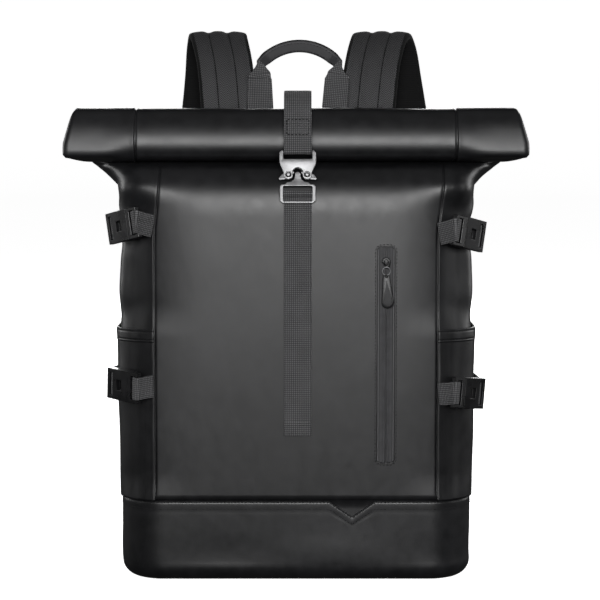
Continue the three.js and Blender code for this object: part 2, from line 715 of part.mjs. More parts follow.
function sideStrap(name, side, height, lean, onPocket) {
  const turn = rad(buckleAngle);
  const standoff = cornerRadius + buckleStandoff + (onPocket ? pocketBuckleRoom : 0);
  const outward = new THREE.Vector3(side * Math.sin(turn), -Math.cos(turn), 0);
  const along = new THREE.Vector3(side * Math.cos(turn), Math.sin(turn), 0).multiplyScalar(Math.cos(rad(lean)))
    .add(new THREE.Vector3(0, 0, -Math.sin(rad(lean))));
  const buckle = new THREE.Group();
  buckle.quaternion.setFromRotationMatrix(new THREE.Matrix4().makeBasis(along, outward.clone().cross(along), outward));
  buckle.position.set(side * (halfWidth - cornerRadius), -halfDepth + cornerRadius, height)
    .addScaledVector(outward, standoff);
  buckle.updateMatrixWorld();
  const buckleAt = (x, out) => buckle.localToWorld(new THREE.Vector3(x, 0, out));
  const level = new THREE.Vector3(0, 0, 1);
  const tilted = along.clone().cross(outward).multiplyScalar(side < 0 ? 1 : -1);

  // point on the bag where webbing lies, over the pocket if there is one
  const lie = (share, lift = 0) => {
    const under = onPocket ? pocketGap(share, height) + pocketWall : 0;
    return sideWall(side, share, under + fit + sideWebWall / 2 + lift).setZ(height);
  };
  // webbing whose width turns from level to the buckle's own tilt, which it has from its third point on
  const webbing = (points) => {
    const between = 3;
    return ribbon(smooth(points, between).map((at, i) => ({
      at,
      across: level.clone().lerp(tilted, Math.min(1, i / (2 * between))),
      width: sideWebWidth,
    })), sideWebWall);
  };

  // the end bars' half height, where the webbing passes over them
  const barHalf = (length) => buckleWall / 2 * lerp(endTaper, 1, endBar / length);
  const overProng = barHalf(prongLength) + slotRoom + sideWebWall / 2;
  const overSocket = barHalf(socketLength) + slotRoom + sideWebWall / 2;
  const slotIn = buckleStart + endBar + webSlot / 2;
  const slotOut = buckleEnd - endBar - webSlot / 2;
  const barStart = buckleAt(buckleStart - 2, overProng + fit);
  const climb = lie(0.01).lerp(barStart, 0.5).addScaledVector(outward, 2 * fit); // from the seam up to the bar
  const front = webbing([lie(0.005), climb, barStart,
    buckleAt(buckleStart + endBar / 2, overProng + 0.3), buckleAt(buckleStart + endBar + 0.7, overProng - 0.2),
    buckleAt(slotIn + 0.3, 1.2), buckleAt(slotIn + 0.3, -2)]);
  const back = webbing([lie(0.765), lie(0.68, 2 * fit), buckleAt(buckleEnd + 5, -overSocket - 0.3),
    buckleAt(buckleEnd - endBar / 2, -overSocket - 0.3), buckleAt(buckleEnd - endBar - 0.7, -overSocket + 0.2),
    buckleAt(slotOut - 0.3, -1.2), buckleAt(slotOut - 0.3, 2)]);
  addPiece(backpack, `side_web_front_${name}`, front, 'webbing');
  addPiece(backpack, `side_web_back_${name}`, back, 'webbing');
  addPiece(buckle, `side_buckle_prong_${name}`, buckleProng(), 'plastic');
  addPiece(buckle, `side_buckle_socket_${name}`, buckleSocket(), 'plastic');
  backpack.add(buckle);
}

// lean is the droop of the buckle's back end in degrees
const sideStraps = [
  { name: 'upper_left', side: -1, height: upperStrapHeight + strapStagger, lean: 12, onPocket: false },
  { name: 'upper_right', side: 1, height: upperStrapHeight - strapStagger, lean: 12, onPocket: false },
  { name: 'lower_left', side: -1, height: lowerStrapHeight + strapStagger, lean: -2, onPocket: true },
  { name: 'lower_right', side: 1, height: lowerStrapHeight - strapStagger, lean: 7, onPocket: true },
];
for (const { name, side, height, lean, onPocket } of sideStraps) sideStrap(name, side, height, lean, onPocket);

// carrying handle: an arched grip between two webbing tabs sewn to the back
const backLie = (thickness) => halfDepth + fit + thickness / 2;
const gripRadius = ((handleSpan / 2) ** 2 + handleRise ** 2) / (2 * handleRise);
const gripTurn = Math.asin(handleSpan / 2 / gripRadius); // half the grip's arc
const gripY = backLie(frontWebWall);

// point on the grip's middle line, turned from the top, and the direction across it
const gripPoint = (turn) => new THREE.Vector3(handleX + gripRadius * Math.sin(turn), gripY,
  handleTopHeight - gripRadius * (1 - Math.cos(turn)));
const gripOut = (turn) => new THREE.Vector3(Math.sin(turn), 0, Math.cos(turn));

function handleGrip() {
  const [steps, sides] = [14, 10];
  const rings = Array.from({ length: steps + 1 }, (_, i) => {
    const turn = lerp(-gripTurn, gripTurn, i / steps);
    return Array.from({ length: sides }, (_, j) => {
      const round = 2 * Math.PI * (j + 0.5) / sides;
      return gripPoint(turn).addScaledVector(gripOut(turn), handleSection / 2 * Math.cos(round))
        .add(new THREE.Vector3(0, handleDepth / 2 * Math.sin(round), 0));
    });
  });
  return loft(rings);
}

function handleTab(side) {
  const end = gripTurn + fit / gripRadius;
  const tabX = handleX - 2 + side * tabSpacing / 2;
  const top = gripPoint(side * end);
  const rise = (share) => new THREE.Vector3(tabX, gripY, lerp(shoulderHeight, top.z, share));
  const foot = new THREE.Vector3(tabX, gripY, shoulderHeight - strapAnchorLength);
  const across = gripOut(side * end).multiplyScalar(side);
  const stations = [
    { at: foot, across: acrossX, width: tabWidth },
    { at: rise(0.3), across: acrossX, width: tabWidth },
    { at: rise(0.84), across: acrossX, width: tabWidth },
    { at: rise(0.92), across: acrossX.clone().lerp(across, 0.35), width: lerp(tabWidth, handleSection, 0.5) },
    { at: top, across, width: handleSection },
  ];
  return ribbon(stations, frontWebWall);
}

addPiece(backpack, 'handle_grip', handleGrip(), 'coated');
addPiece(backpack, 'handle_tab_left', handleTab(-1), 'webbing');
addPiece(backpack, 'handle_tab_right', handleTab(1), 'webbing');

// shoulder straps: rise is a share of padPeakRise, or of padDrop where negative; reach a share of padReach
// behind the back; spread a share of padSpread outwards; sway a share of padSway; width and loft shares of the
// pad's width and thickness
const padRoute = [
  { rise: -0.14, reach: 0.078, spread: 0, sway: 0.2, width: 0.92, loft: 0.25 },
  { rise: 0, reach: 0.115, spread: 0, sway: 0.2, width: 0.94, loft: 0.5 },
  { rise: 0.26, reach: 0.19, spread: 0.03, sway: 0.22, width: 1, loft: 0.9 },
  { rise: 0.58, reach: 0.26, spread: 0.1, sway: 0.25, width: 1, loft: 1 },
  { rise: 0.84, reach: 0.35, spread: 0.17, sway: 0.3, width: 1, loft: 1 },
  { rise: 0.97, reach: 0.52, spread: 0.22, sway: 0.35, width: 1, loft: 1 },
  { rise: 1, reach: 0.72, spread: 0.26, sway: 0.45, width: 1, loft: 1 },
  { rise: 0.93, reach: 0.92, spread: 0.32, sway: 0.65, width: 1, loft: 1 },
  { rise: 0.76, reach: 1, spread: 0.4, sway: 0.85, width: 1, loft: 1 },
  { rise: 0.5, reach: 0.97, spread: 0.53, sway: 1, width: 1, loft: 1 },
  { rise: 0.16, reach: 0.82, spread: 0.74, sway: 0.85, width: 1, loft: 1 },
  { rise: -0.3, reach: 0.6, spread: 0.95, sway: 0.4, width: 0.98, loft: 1 },
  { rise: -0.68, reach: 0.45, spread: 1, sway: 0.1, width: 0.86, loft: 0.95 },
  { rise: -1, reach: 0.38, spread: 1, sway: 0, width: 0.6, loft: 0.4 },
];

function padPlaces(side) {
  const rows = padRoute.map((row) => new THREE.Vector3(
    side * (padAnchorX + padSpread * row.spread) + padSway * row.sway,
    halfDepth + padReach * row.reach,
    shoulderHeight + row.rise * (row.rise < 0 ? padDrop : padPeakRise),
  ));
  return new THREE.CatmullRomCurve3(rows, false, 'centripetal');
}

// section across the pad: share of the half width and of the half thickness, with three sewn channels outside
const padSection = [[1, 0], [0.86, 0.8], [0.62, 1], [0.34, 0.72], [0, 1], [-0.34, 0.72], [-0.62, 1], [-0.86, 0.8],
  [-1, 0], [-0.7, -0.9], [0, -1], [0.7, -0.9]];

function shoulderStrap(side) {
  const steps = 24;
  const curve = padPlaces(side);
  const across = new THREE.Vector3(1, 0, 0);
  const rings = Array.from({ length: steps + 1 }, (_, i) => {
    const share = i / steps;
    const along = curve.getTangent(share);
    const out = across.clone().cross(along).normalize(); // from the bag's back towards the wearer, then over
    const row = share * (padRoute.length - 1);
    const [low, high] = [padRoute[Math.floor(row)], padRoute[Math.ceil(row)]];
    const half = padWidth / 2 * lerp(low.width, high.width, row % 1);
    const deep = padWall / 2 * lerp(low.loft, high.loft, row % 1);
    return padSection.map(([u, v]) => curve.getPoint(share).addScaledVector(across, u * half)
      .addScaledVector(out, -v * deep));
  });
  return loft(rings);
}

// adjuster, in a group at the pad's end whose Y runs back up the pad and Z away from the bag
function adjusterPlate() {
  const [w, h] = [adjusterWidth / 2, adjusterHeight];
  const webHalf = sideWebWidth / 2 + slotRoom;
  const shape = roundedShape(-w, -h, w, 0, 3);
  const slots = [0.22, 0.6].map((share) =>
    block(-webHalf, -h * share - 4.4, -adjusterWall, webHalf, -h * share, adjusterWall));
  return cut(plate(shape, -adjusterWall / 2, adjusterWall / 2, 3), ...slots);
}

for (const [name, side] of [['left', -1], ['right', 1]]) {
  addPiece(backpack, `shoulder_strap_${name}`, shoulderStrap(side), 'padding');
  const curve = padPlaces(side);
  const up = curve.getTangent(1).negate();
  const x = new THREE.Vector3(1, 0, 0);
  up.addScaledVector(x, -up.x).normalize();
  const adjuster = new THREE.Group();
  adjuster.position.copy(curve.getPoint(1)).addScaledVector(up, -fit);
  adjuster.quaternion.setFromRotationMatrix(new THREE.Matrix4().makeBasis(x, up, x.clone().cross(up)));
  adjuster.updateMatrixWorld();
  addPiece(adjuster, `strap_adjuster_${name}`, adjusterPlate(), 'plastic');
  backpack.add(adjuster);

  // webbing from the anchor up behind the adjuster's last bar, round it and down as a tail
  const adjusterAt = (y, z) => adjuster.localToWorld(new THREE.Vector3(0, y, z));
  const footX = adjuster.position.x;
  const lie = backLie(sideWebWall);
  const lastSlot = -adjusterHeight * 0.6 - 2.2;
  const room = adjusterWall / 2 + slotRoom + sideWebWall / 2;
  const backSide = adjusterAt(0, 1).y < adjusterAt(0, 0).y ? 1 : -1; // the plate's side that faces the bag
  const anchorTop = new THREE.Vector3(footX, lie + 4, anchorHeight + anchorLength);
  const route = [
    anchorTop.clone().add(new THREE.Vector3(0, 0.2, fit)),
    anchorTop.clone().lerp(adjusterAt(-adjusterHeight, backSide * room), 0.5),
    adjusterAt(-adjusterHeight - 4, backSide * room),
    adjusterAt(lastSlot - 1.8, backSide * (room + 0.1)),
    adjusterAt(lastSlot + 0.1, 0),
    adjusterAt(lastSlot - 1.8, -backSide * (room + 0.1)),
    adjusterAt(-adjusterHeight - 6, -backSide * room),
    adjusterAt(-adjusterHeight - lowerWebTail, -backSide * (room + 3)),
  ];
  addPiece(backpack, `strap_webbing_${name}`, ribbon(webStations(smooth(route, 3), sideWebWidth), sideWebWall),
    'webbing');
  const anchor = [
    { at: new THREE.Vector3(footX, lie, anchorHeight), across: acrossX, width: sideWebWidth * 1.9 },
    { at: new THREE.Vector3(footX, lie, anchorHeight + anchorLength * 0.5), across: acrossX, width: sideWebWidth * 1.5 },
    { at: anchorTop, across: acrossX, width: sideWebWidth },
  ];
  addPiece(backpack, `strap_anchor_${name}`, ribbon(anchor, sideWebWall), 'webbing');
}

export default backpack;
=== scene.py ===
import math

import bmesh
import bpy
import numpy as np
from mathutils import Matrix, Vector


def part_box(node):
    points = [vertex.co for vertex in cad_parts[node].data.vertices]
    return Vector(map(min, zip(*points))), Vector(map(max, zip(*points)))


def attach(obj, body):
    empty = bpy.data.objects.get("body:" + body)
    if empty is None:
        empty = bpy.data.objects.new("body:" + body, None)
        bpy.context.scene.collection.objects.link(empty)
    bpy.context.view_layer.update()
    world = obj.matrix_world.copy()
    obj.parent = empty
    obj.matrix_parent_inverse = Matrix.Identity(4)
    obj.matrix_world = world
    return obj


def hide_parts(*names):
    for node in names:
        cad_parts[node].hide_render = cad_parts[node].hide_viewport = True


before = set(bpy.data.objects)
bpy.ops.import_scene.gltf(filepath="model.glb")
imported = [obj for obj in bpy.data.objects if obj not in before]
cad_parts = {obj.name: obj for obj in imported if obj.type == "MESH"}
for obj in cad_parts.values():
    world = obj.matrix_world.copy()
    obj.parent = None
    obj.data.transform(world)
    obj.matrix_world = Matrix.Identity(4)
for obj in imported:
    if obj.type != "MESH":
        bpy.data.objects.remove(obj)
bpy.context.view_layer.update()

mm = 0.001
print("frame loaded:", len(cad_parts), "nodes")


# shader maths as expressions on sockets
class Wire:
    def __init__(self, tree, socket):
        self.tree, self.socket = tree, socket

    def math(self, operation, *others):
        return self.tree.node("ShaderNodeMath", dict(operation=operation), [self, *others])

    def __add__(self, other): return self.math("ADD", other)
    def __sub__(self, other): return self.math("SUBTRACT", other)
    def __mul__(self, other): return self.math("MULTIPLY", other)
    def __truediv__(self, other): return self.math("DIVIDE", other)
    __radd__, __rmul__ = __add__, __mul__

    def __rsub__(self, other):
        return self.tree.node("ShaderNodeMath", dict(operation="SUBTRACT"), [other, self])

    def abs(self): return self.math("ABSOLUTE")
    def fract(self): return self.math("FRACT")

    # sine with a wavelength, from -1 to 1 and from 0 to 1
    def ripple(self, length): return (self * (2 * math.pi / length)).math("SINE")
    def wave(self, length): return self.ripple(length) * 0.5 + 0.5

    # 0 below low, 1 above high, smooth between
    def step(self, low, high):
        return self.tree.node("ShaderNodeMapRange", dict(interpolation_type="SMOOTHSTEP"),
                              {"Value": self, "From Min": low, "From Max": high})


class Shader:
    def __init__(self, name, roughness, metallic=0.0, specular=0.5, sheen=0.0):
        self.material = bpy.data.materials.new(name)
        self.material.use_nodes = True
        self.nodes = self.material.node_tree.nodes
        self.links = self.material.node_tree.links
        self.surface = self.nodes["Principled BSDF"]
        self.set(**{"Roughness": roughness, "Metallic": metallic, "Specular IOR Level": specular,
                    "Sheen Weight": sheen})

    # any node: its settings first, then values or wires for its sockets by order or by name
    def node(self, kind, settings=None, inputs=(), output=0):
        made = self.nodes.new(kind)
        for key, value in (settings or {}).items():
            setattr(made, key, value)
        for key, value in (inputs.items() if isinstance(inputs, dict) else enumerate(inputs)):
            self.feed(made.inputs[key], value)
        return Wire(self, made.outputs[output])

    def feed(self, socket, value):
        if isinstance(value, Wire):
            self.links.new(value.socket, socket)
        else:
            socket.default_value = value

    def set(self, **sockets):
        for name, value in sockets.items():
            self.feed(self.surface.inputs[name], value)
        return self.material

    def finish(self, colour, roughness=None, normal=None):
        wires = {"Base Color": colour, "Roughness": roughness, "Normal": normal}
        return self.set(**{name: wire for name, wire in wires.items() if wire is not None})

    def place(self, kind="Object"):
        return self.node("ShaderNodeTexCoord", output=kind)

    def split(self, vector):
        wire = self.node("ShaderNodeSeparateXYZ", None, [vector])
        return [Wire(self, wire.socket.node.outputs[i]) for i in range(3)]

    def noise(self, scale, detail=3.0, stretch=None):
        vector = self.place()
        if stretch:
            vector = self.node("ShaderNodeMapping", None, {"Vector": vector, "Scale": stretch})
        return self.node("ShaderNodeTexNoise", None, {"Vector": vector, "Scale": scale, "Detail": detail})

    def mix(self, factor, low, high):
        low, high = (side if isinstance(side, Wire) else (*side, 1) for side in (low, high))
        return self.node("ShaderNodeMix", dict(data_type="RGBA"), {0: factor, 6: low, 7: high}, 2)

    def bump(self, height, distance, strength=1.0, normal=None):
        inputs = {"Height": height, "Distance": distance, "Strength": strength}
        return self.node("ShaderNodeBump", None, inputs | ({"Normal": normal} if normal else {}))


# rubber-coated fabric: a soft dull shine, a fine grain and faint clouds of rub marks
coatedLook = dict(dark=(0.0040, 0.0041, 0.0047), light=(0.0095, 0.0096, 0.0108), rough=0.40, roughVary=0.12,
                  grain=1500, grainDepth=0.00005, cloud=9, rub=95, wrinkle=38, wrinkleDepth=0.0010)


def coatedFabric():
    look = coatedLook
    shade = Shader("coatedFabric", look["rough"])
    cloud, rub, grain = (shade.noise(look[key], detail) for key, detail in (("cloud", 4), ("rub", 5), ("grain", 2)))
    wrinkle = shade.noise(look["wrinkle"], 3, stretch=(1, 1, 0.45))
    colour = shade.mix((cloud * 0.6 + rub * 0.4).step(0.38, 0.68), look["dark"], look["light"])
    soft = shade.bump(wrinkle, look["wrinkleDepth"], 0.35)
    return shade.finish(colour, look["rough"] - look["roughVary"] / 2 + rub * look["roughVary"],
                        shade.bump(grain, look["grainDepth"], 0.5, soft))


# plain woven webbing on its own UV map in metres: ribs across, threads over and under, dark between
webLook = dict(dark=(0.006, 0.006, 0.007), light=(0.20, 0.20, 0.205), pitch=0.00165, depth=0.00030, fibre=2600)


def webbingFabric():
    look = webLook
    shade = Shader("webbing", 0.8, specular=0.2, sheen=0.05)
    along, across, _ = shade.split(shade.place("UV"))
    rib, thread = along.wave(look["pitch"]), across.wave(look["pitch"])
    ridge = rib * thread * 0.75 + (rib + thread) * 0.125
    fibre, wear = shade.noise(look["fibre"], 2), shade.noise(60, 3)
    colour = shade.mix(ridge * 0.8 + fibre * 0.2 + wear * 0.16 - 0.1, look["dark"], look["light"])
    return shade.finish(colour, 0.62 + fibre * 0.25, shade.bump(ridge + fibre * 0.2, look["depth"]))


# the same weave where a piece has no UV map, by its place
def plainWebbing():
    look = webLook
    shade = Shader("plainWebbing", 0.72, specular=0.3, sheen=0.25)
    x, _, z = shade.split(shade.place())
    rib = z.ripple(look["pitch"]) * x.ripple(look["pitch"]) * 0.5 + 0.5
    colour = (rib * 0.8 + shade.noise(look["fibre"], 2) * 0.35).step(0.15, 0.95)
    return shade.finish(shade.mix(colour, look["dark"], look["light"]), normal=shade.bump(rib, look["depth"]))


# herringbone face of the padded straps, on their UV map in metres, with dashes of thread in the channels and along
# the edge, and plain lining past it; the last heights are where painted shade starts to darken the arc's top
padLook = dict(dark=(0.006, 0.006, 0.007), light=(0.105, 0.105, 0.108), stripe=0.0062, line=0.0021, depth=0.00022,
               lining=(0.0022, 0.0022, 0.0024), channel=0.0092, edge=0.0232, dash=0.0024, paintedTopShade=(0.42, 0.49))


def padFabric():
    look = padLook
    shade = Shader("padFabric", 0.85, specular=0.2, sheen=0.05)
    along, across, _ = shade.split(shade.place("UV"))
    zigzag = ((across / look["stripe"]).fract() - 0.5).abs() * look["stripe"]
    line = (along + zigzag * 1.4).wave(look["line"])
    fibre = shade.noise(2400, 2)
    twill = shade.mix((line * 0.75 + fibre * 0.35).step(0.1, 0.95), look["dark"], look["light"])
    dash, off = along.wave(look["dash"]), across.abs()
    channel = 1 - (off - look["channel"]).abs().step(0.0003, 0.0009)
    edge = (off + dash * 0.0006).step(look["edge"], look["edge"] + 0.0004)
    seam = (channel * (0.55 + dash * 0.45) + edge).step(0.0, 1.0)
    height = shade.split(shade.place())[2]
    # painted shade: above these heights the face darkens towards the top of the arc, where it curves back from the
    # light
    paintedTopShade = shade.mix(height.step(*look["paintedTopShade"]) * 0.62, twill, look["dark"])
    return shade.finish(shade.mix(seam, paintedTopShade, look["lining"]), 0.75 + fibre * 0.2,
                        shade.bump(line + fibre * 0.3, look["depth"]))


# zip tape: fine weave, painted highlight along both edges, painted shadow line inside it, by the distance from its
# middle
# colours: the tape's own weave, a painted shadow line and a painted highlight along the edges by the rim
tapeLook = dict(middle=0.078, line=0.0052, edge=0.0062, fade=0.0003, dark=(0.030, 0.030, 0.032),
                light=(0.042, 0.042, 0.045), shadow=(0.010, 0.010, 0.011), paintedEdgeHighlight=(0.13, 0.13, 0.135))


def tapeFabric():
    look = tapeLook
    shade = Shader("zipTape", 0.55, specular=0.35)
    x, _, z = shade.split(shade.place())
    spot = shade.noise(150, 3)
    face, out = shade.mix(spot.step(0.3, 0.7), look["dark"], look["light"]), (x - look["middle"]).abs()
    # the painted shadow line, then the painted highlight where the window's edge catches the light
    for start, colour in (("line", "shadow"), ("edge", "paintedEdgeHighlight")):
        face = shade.mix(out.step(look[start], look[start] + look["fade"]), face, look[colour])
    return shade.finish(face, 0.5 + spot * 0.12, shade.bump(z.ripple(0.0009) * x.ripple(0.0007), 0.00006, 0.6))


# the handle's folded band on its UV map: black along its upper edge, with a fine line where the fold ends
bandLook = dict(face=(0.030, 0.030, 0.032), line=(0.075, 0.075, 0.08), rim=(0.003, 0.003, 0.0034), rimFrom=0.0040,
                fold=0.0030)


def bandFabric():
    look = bandLook
    shade = Shader("bandFabric", 0.62, specular=0.3)
    along, across, _ = shade.split(shade.place("UV"))
    spot = shade.noise(120, 3)
    rim = across.step(look["rimFrom"], look["rimFrom"] + 0.0006)
    fold = 1 - (across - look["fold"]).abs().step(0.0001, 0.0006)
    face = shade.mix(spot * 0.5 + fold * 0.6 - 0.1, look["face"], look["line"])
    weave = along.ripple(0.0011) * across.ripple(0.0009)
    return shade.finish(shade.mix(rim, face, look["rim"]), 0.5 + spot * 0.2, shade.bump(weave, 0.00008, 0.6))


# plain finishes: two colours in spots (scale, detail), a roughness with its variation over the spots, and a grain
# (scale, detail, depth, strength)
plainLooks = dict(
    plastic=dict(name="blackPlastic", dark=(0.0045, 0.0045, 0.005), light=(0.011, 0.011, 0.012), spots=(60, 4),
                 full=0.75, rough=(0.2, 0.16), grain=(2200, 1, 0.00003, 0.4), specular=0.32),
    metal=dict(name="satinMetal", dark=(0.15, 0.15, 0.153), light=(0.19, 0.19, 0.193), spots=(240, 5),
               full=0.7, rough=(0.3, 0.16), grain=(3000, 1, 0.00003, 0.35), metallic=1.0),
    thread=dict(name="thread", dark=(0.003, 0.003, 0.0035), light=(0.014, 0.014, 0.015), spots=(1800, 2),
                full=0.7, rough=(0.7, 0), grain=(1800, 2, 0.0001, 1.0), specular=0.3),
    grip=dict(name="gripRubber", dark=(0.020, 0.020, 0.021), light=(0.032, 0.032, 0.034), spots=(300, 4),
              full=0.7, rough=(0.42, 0.2), grain=None, specular=0.25))


def plainFinish(name, dark, light, spots, full, rough, grain, **settings):
    shade = Shader(name, rough[0], **settings)
    spot = shade.noise(*spots)
    roughness = rough[0] + spot * rough[1] if rough[1] else None
    normal = shade.bump(shade.noise(*grain[:2]), *grain[2:]) if grain else None
    return shade.finish(shade.mix(spot.step(0.3, full), dark, light), roughness, normal)


# each finish with the slot that it fills
finish = dict(coated=(coatedFabric(), "coated_fabric"), webbing=(webbingFabric(), "webbing"),
              plain=(plainWebbing(), "webbing"), pad=(padFabric(), "pad_fabric"), tape=(tapeFabric(), "zip_tape"),
              band=(bandFabric(), "coated_fabric"))
plainSlots = dict(plastic="black_plastic", metal="satin_metal", thread="webbing", grip="black_plastic")
for look, slot in plainSlots.items():
    finish[look] = plainFinish(**plainLooks[look]), slot
print("materials made")


# puts a mesh into the scene on a body, with its finish and the nodes that it stands for
def addPiece(name, mesh, look, nodes=(), body="root"):
    material, slot = finish[look]
    mesh.materials.append(material)
    mesh.polygons.foreach_set("use_smooth", np.ones(len(mesh.polygons), bool))
    piece = bpy.data.objects.new(name, mesh)
    bpy.context.scene.collection.objects.link(piece)
    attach(piece, body)
    if nodes:
        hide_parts(*nodes)
    return piece


# gives a sheet its thickness, inwards
def addWall(piece, thickness):
    wall = piece.modifiers.new("wall", "SOLIDIFY")
    wall.thickness, wall.offset = thickness * mm, -1


def meshOf(name, points, faces):
    mesh = bpy.data.meshes.new(name)
    mesh.from_pydata(points.tolist(), [], faces)
    mesh.update()
    return mesh


def pointsOf(mesh):
    flat = np.empty(len(mesh.vertices) * 3)
    mesh.vertices.foreach_get("co", flat)
    return flat.reshape(-1, 3)


# quads between neighbouring points of a grid of rows and columns, with the row and column of each
def gridQuads(rows, cols, wrap=True):
    i, j = np.meshgrid(np.arange(rows - 1), np.arange(cols if wrap else cols - 1), indexing="ij")
    i, j = i.ravel(), j.ravel()
    k = (j + 1) % cols
    return i, j, np.stack([i * cols + j, i * cols + k, (i + 1) * cols + k, (i + 1) * cols + j], 1)


# mesh of a grid in millimetres; wrap joins the last column to the first, poles closes the first and the last row
# with a fan; uv is the length along and across in millimetres
def gridMesh(name, grid, wrap=True, poles=(False, False), uv=None):
    rows, cols = grid.shape[:2]
    points = grid.reshape(-1, 3)
    i, j, quads = gridQuads(rows, cols, wrap)
    faces = quads.tolist()
    around = ((0, 0), (0, 1), (1, 1), (1, 0))
    corners = np.stack([np.stack([i + up, j + on], 1) for up, on in around], 1).reshape(-1, 2)
    ring = np.arange(cols)
    for row, close in zip((0, rows - 1), poles):
        if close:
            points = np.vstack([points, grid[row].mean(0)])
            a, b = row * cols + ring, row * cols + (ring + 1) % cols
            order = (b, a) if row == 0 else (a, b)
            faces += np.stack([order[0], order[1], np.full(cols, len(points) - 1)], 1).tolist()
            corners = np.vstack([corners, np.stack([np.full(3 * cols, row), np.repeat(ring, 3)], 1)])
    mesh = meshOf(name, points * mm, faces)
    if uv is not None:
        layer = mesh.uv_layers.new(name="UVMap")
        layer.data.foreach_set("uv", (uv[corners[:, 0], corners[:, 1]] * mm).ravel())
    return mesh


# turns all faces outwards where the enclosed volume is negative
def faceOut(mesh):
    mesh.calc_loop_triangles()
    tri = np.empty(len(mesh.loop_triangles) * 3, int)
    mesh.loop_triangles.foreach_get("vertices", tri)
    a, b, c = pointsOf(mesh)[tri.reshape(-1, 3)].transpose(1, 0, 2)
    if np.einsum("ij,ij->i", a, np.cross(b, c)).sum() < 0:
        mesh.flip_normals()
    return mesh


def joinMeshes(name, meshes):
    points, faces, start = [], [], 0
    for mesh in meshes:
        points.append(pointsOf(mesh))
        faces += [[start + v for v in p.vertices] for p in mesh.polygons]
        start += len(mesh.vertices)
        bpy.data.meshes.remove(mesh)
    return meshOf(name, np.vstack(points), faces)


def mergeDoubles(mesh, flatten=False):
    work = bmesh.new()
    work.from_mesh(mesh)
    bmesh.ops.remove_doubles(work, verts=work.verts, dist=2e-6)
    if flatten:
        bmesh.ops.dissolve_limit(work, angle_limit=math.radians(1), verts=work.verts, edges=work.edges)
    work.to_mesh(mesh)
    work.free()
    mesh.update()
    return mesh


def unit(v):
    return v / np.maximum(np.linalg.norm(v, axis=-1, keepdims=True), 1e-9)


def lerp(a, b, t):
    return a + (b - a) * t


# 0 below low, 1 above high, smooth between
def smoothStep(x, low, high):
    t = np.clip((x - low) / (high - low), 0, 1)
    return t * t * (3 - 2 * t)


def bell(x, middle, width):
    return np.exp(-((x - middle) / width) ** 2)


# power that keeps the sign
def signedPower(x, power):
    return np.sign(x) * np.abs(x) ** power


def fullTurn(count):
    return np.linspace(0, 2 * np.pi, count, endpoint=False)


# points of an arc or circle in a plane, by its angles in radians
def roundPoints(x, y, radius, turn):
    return np.stack([x + radius * np.cos(turn), y + radius * np.sin(turn)], 1)


# points from coordinates that are numbers or arrays
def pointsAt(*coordinates):
    return np.stack(np.broadcast_arrays(*coordinates), -1)


# length along a path at each of its points
def wayAlong(path):
    return np.concatenate([[0], np.cumsum(np.linalg.norm(np.diff(path, axis=0), axis=1))])


# value of each column at places along a way
def valuesAt(at, way, columns):
    return np.stack([np.interp(at, way, column) for column in columns.T], 1)


# evenly spaced points along a run
def resample(run, spacing):
    way = wayAlong(run)
    return valuesAt(np.linspace(0, way[-1], max(2, int(round(way[-1] / spacing)) + 1)), way, run)


# centripetal spline through points, sampled evenly by length
def smoothPath(points, spacing, fine=24):
    p = np.asarray(points, float)
    p = np.vstack([2 * p[0] - p[1], p, 2 * p[-1] - p[-2]])
    knot = np.concatenate([[0], np.cumsum(np.sqrt(np.linalg.norm(np.diff(p, axis=0), axis=1)))])
    runs = []
    for i in range(1, len(p) - 2):
        t = np.linspace(knot[i], knot[i + 1], fine, endpoint=False)[:, None]
        near, (t0, t1, t2, t3) = p[i - 1:i + 3], knot[i - 1:i + 3]
        for spans in ([(t0, t1), (t1, t2), (t2, t3)], [(t0, t2), (t1, t3)], [(t1, t2)]):
            near = [lerp(a, b, (t - low) / (high - low)) for a, b, (low, high) in zip(near, near[1:], spans)]
        runs.append(near[0])
    return resample(np.vstack(runs + [p[-2:-1]]), spacing)


def tangents(path):
    return unit(np.gradient(path, axis=0))


# directions made square to a path
def squareTo(directions, along):
    return unit(directions - along * np.einsum("ij,ij->i", directions, along)[:, None])


acrossX, frontward = np.array([1.0, 0, 0]), np.array([0, -1.0, 0])


# flat strip carried along a path: the section is a rounded rectangle of the given width and thickness, turned so
# that its width follows the across direction
def addStrip(name, path, across, width, thick, look="webbing", nodes=()):
    width, thick = (np.broadcast_to(np.asarray(size, float), len(path))[:, None] for size in (width, thick))
    along = tangents(path)
    across = squareTo(np.broadcast_to(across, path.shape), along)
    out = np.cross(along, across)
    turn = fullTurn(24) + np.pi / 24
    side = signedPower(np.cos(turn), 0.18) * width / 2
    lift = signedPower(np.sin(turn), 0.55) * thick / 2
    grid = path[:, None] + across[:, None] * side[..., None] + out[:, None] * lift[..., None]
    uv = pointsAt(wayAlong(path)[:, None], np.concatenate([side, side[:, :1]], 1))
    return addPiece(name, faceOut(gridMesh(name, grid, poles=(True, True), uv=uv)), look, nodes)


# stitches along paths with their outward directions: small capsules whose radius swells in the middle, laid end to
# end at a pitch
stitch = dict(pitch=3.1, sides=6, rows=5)


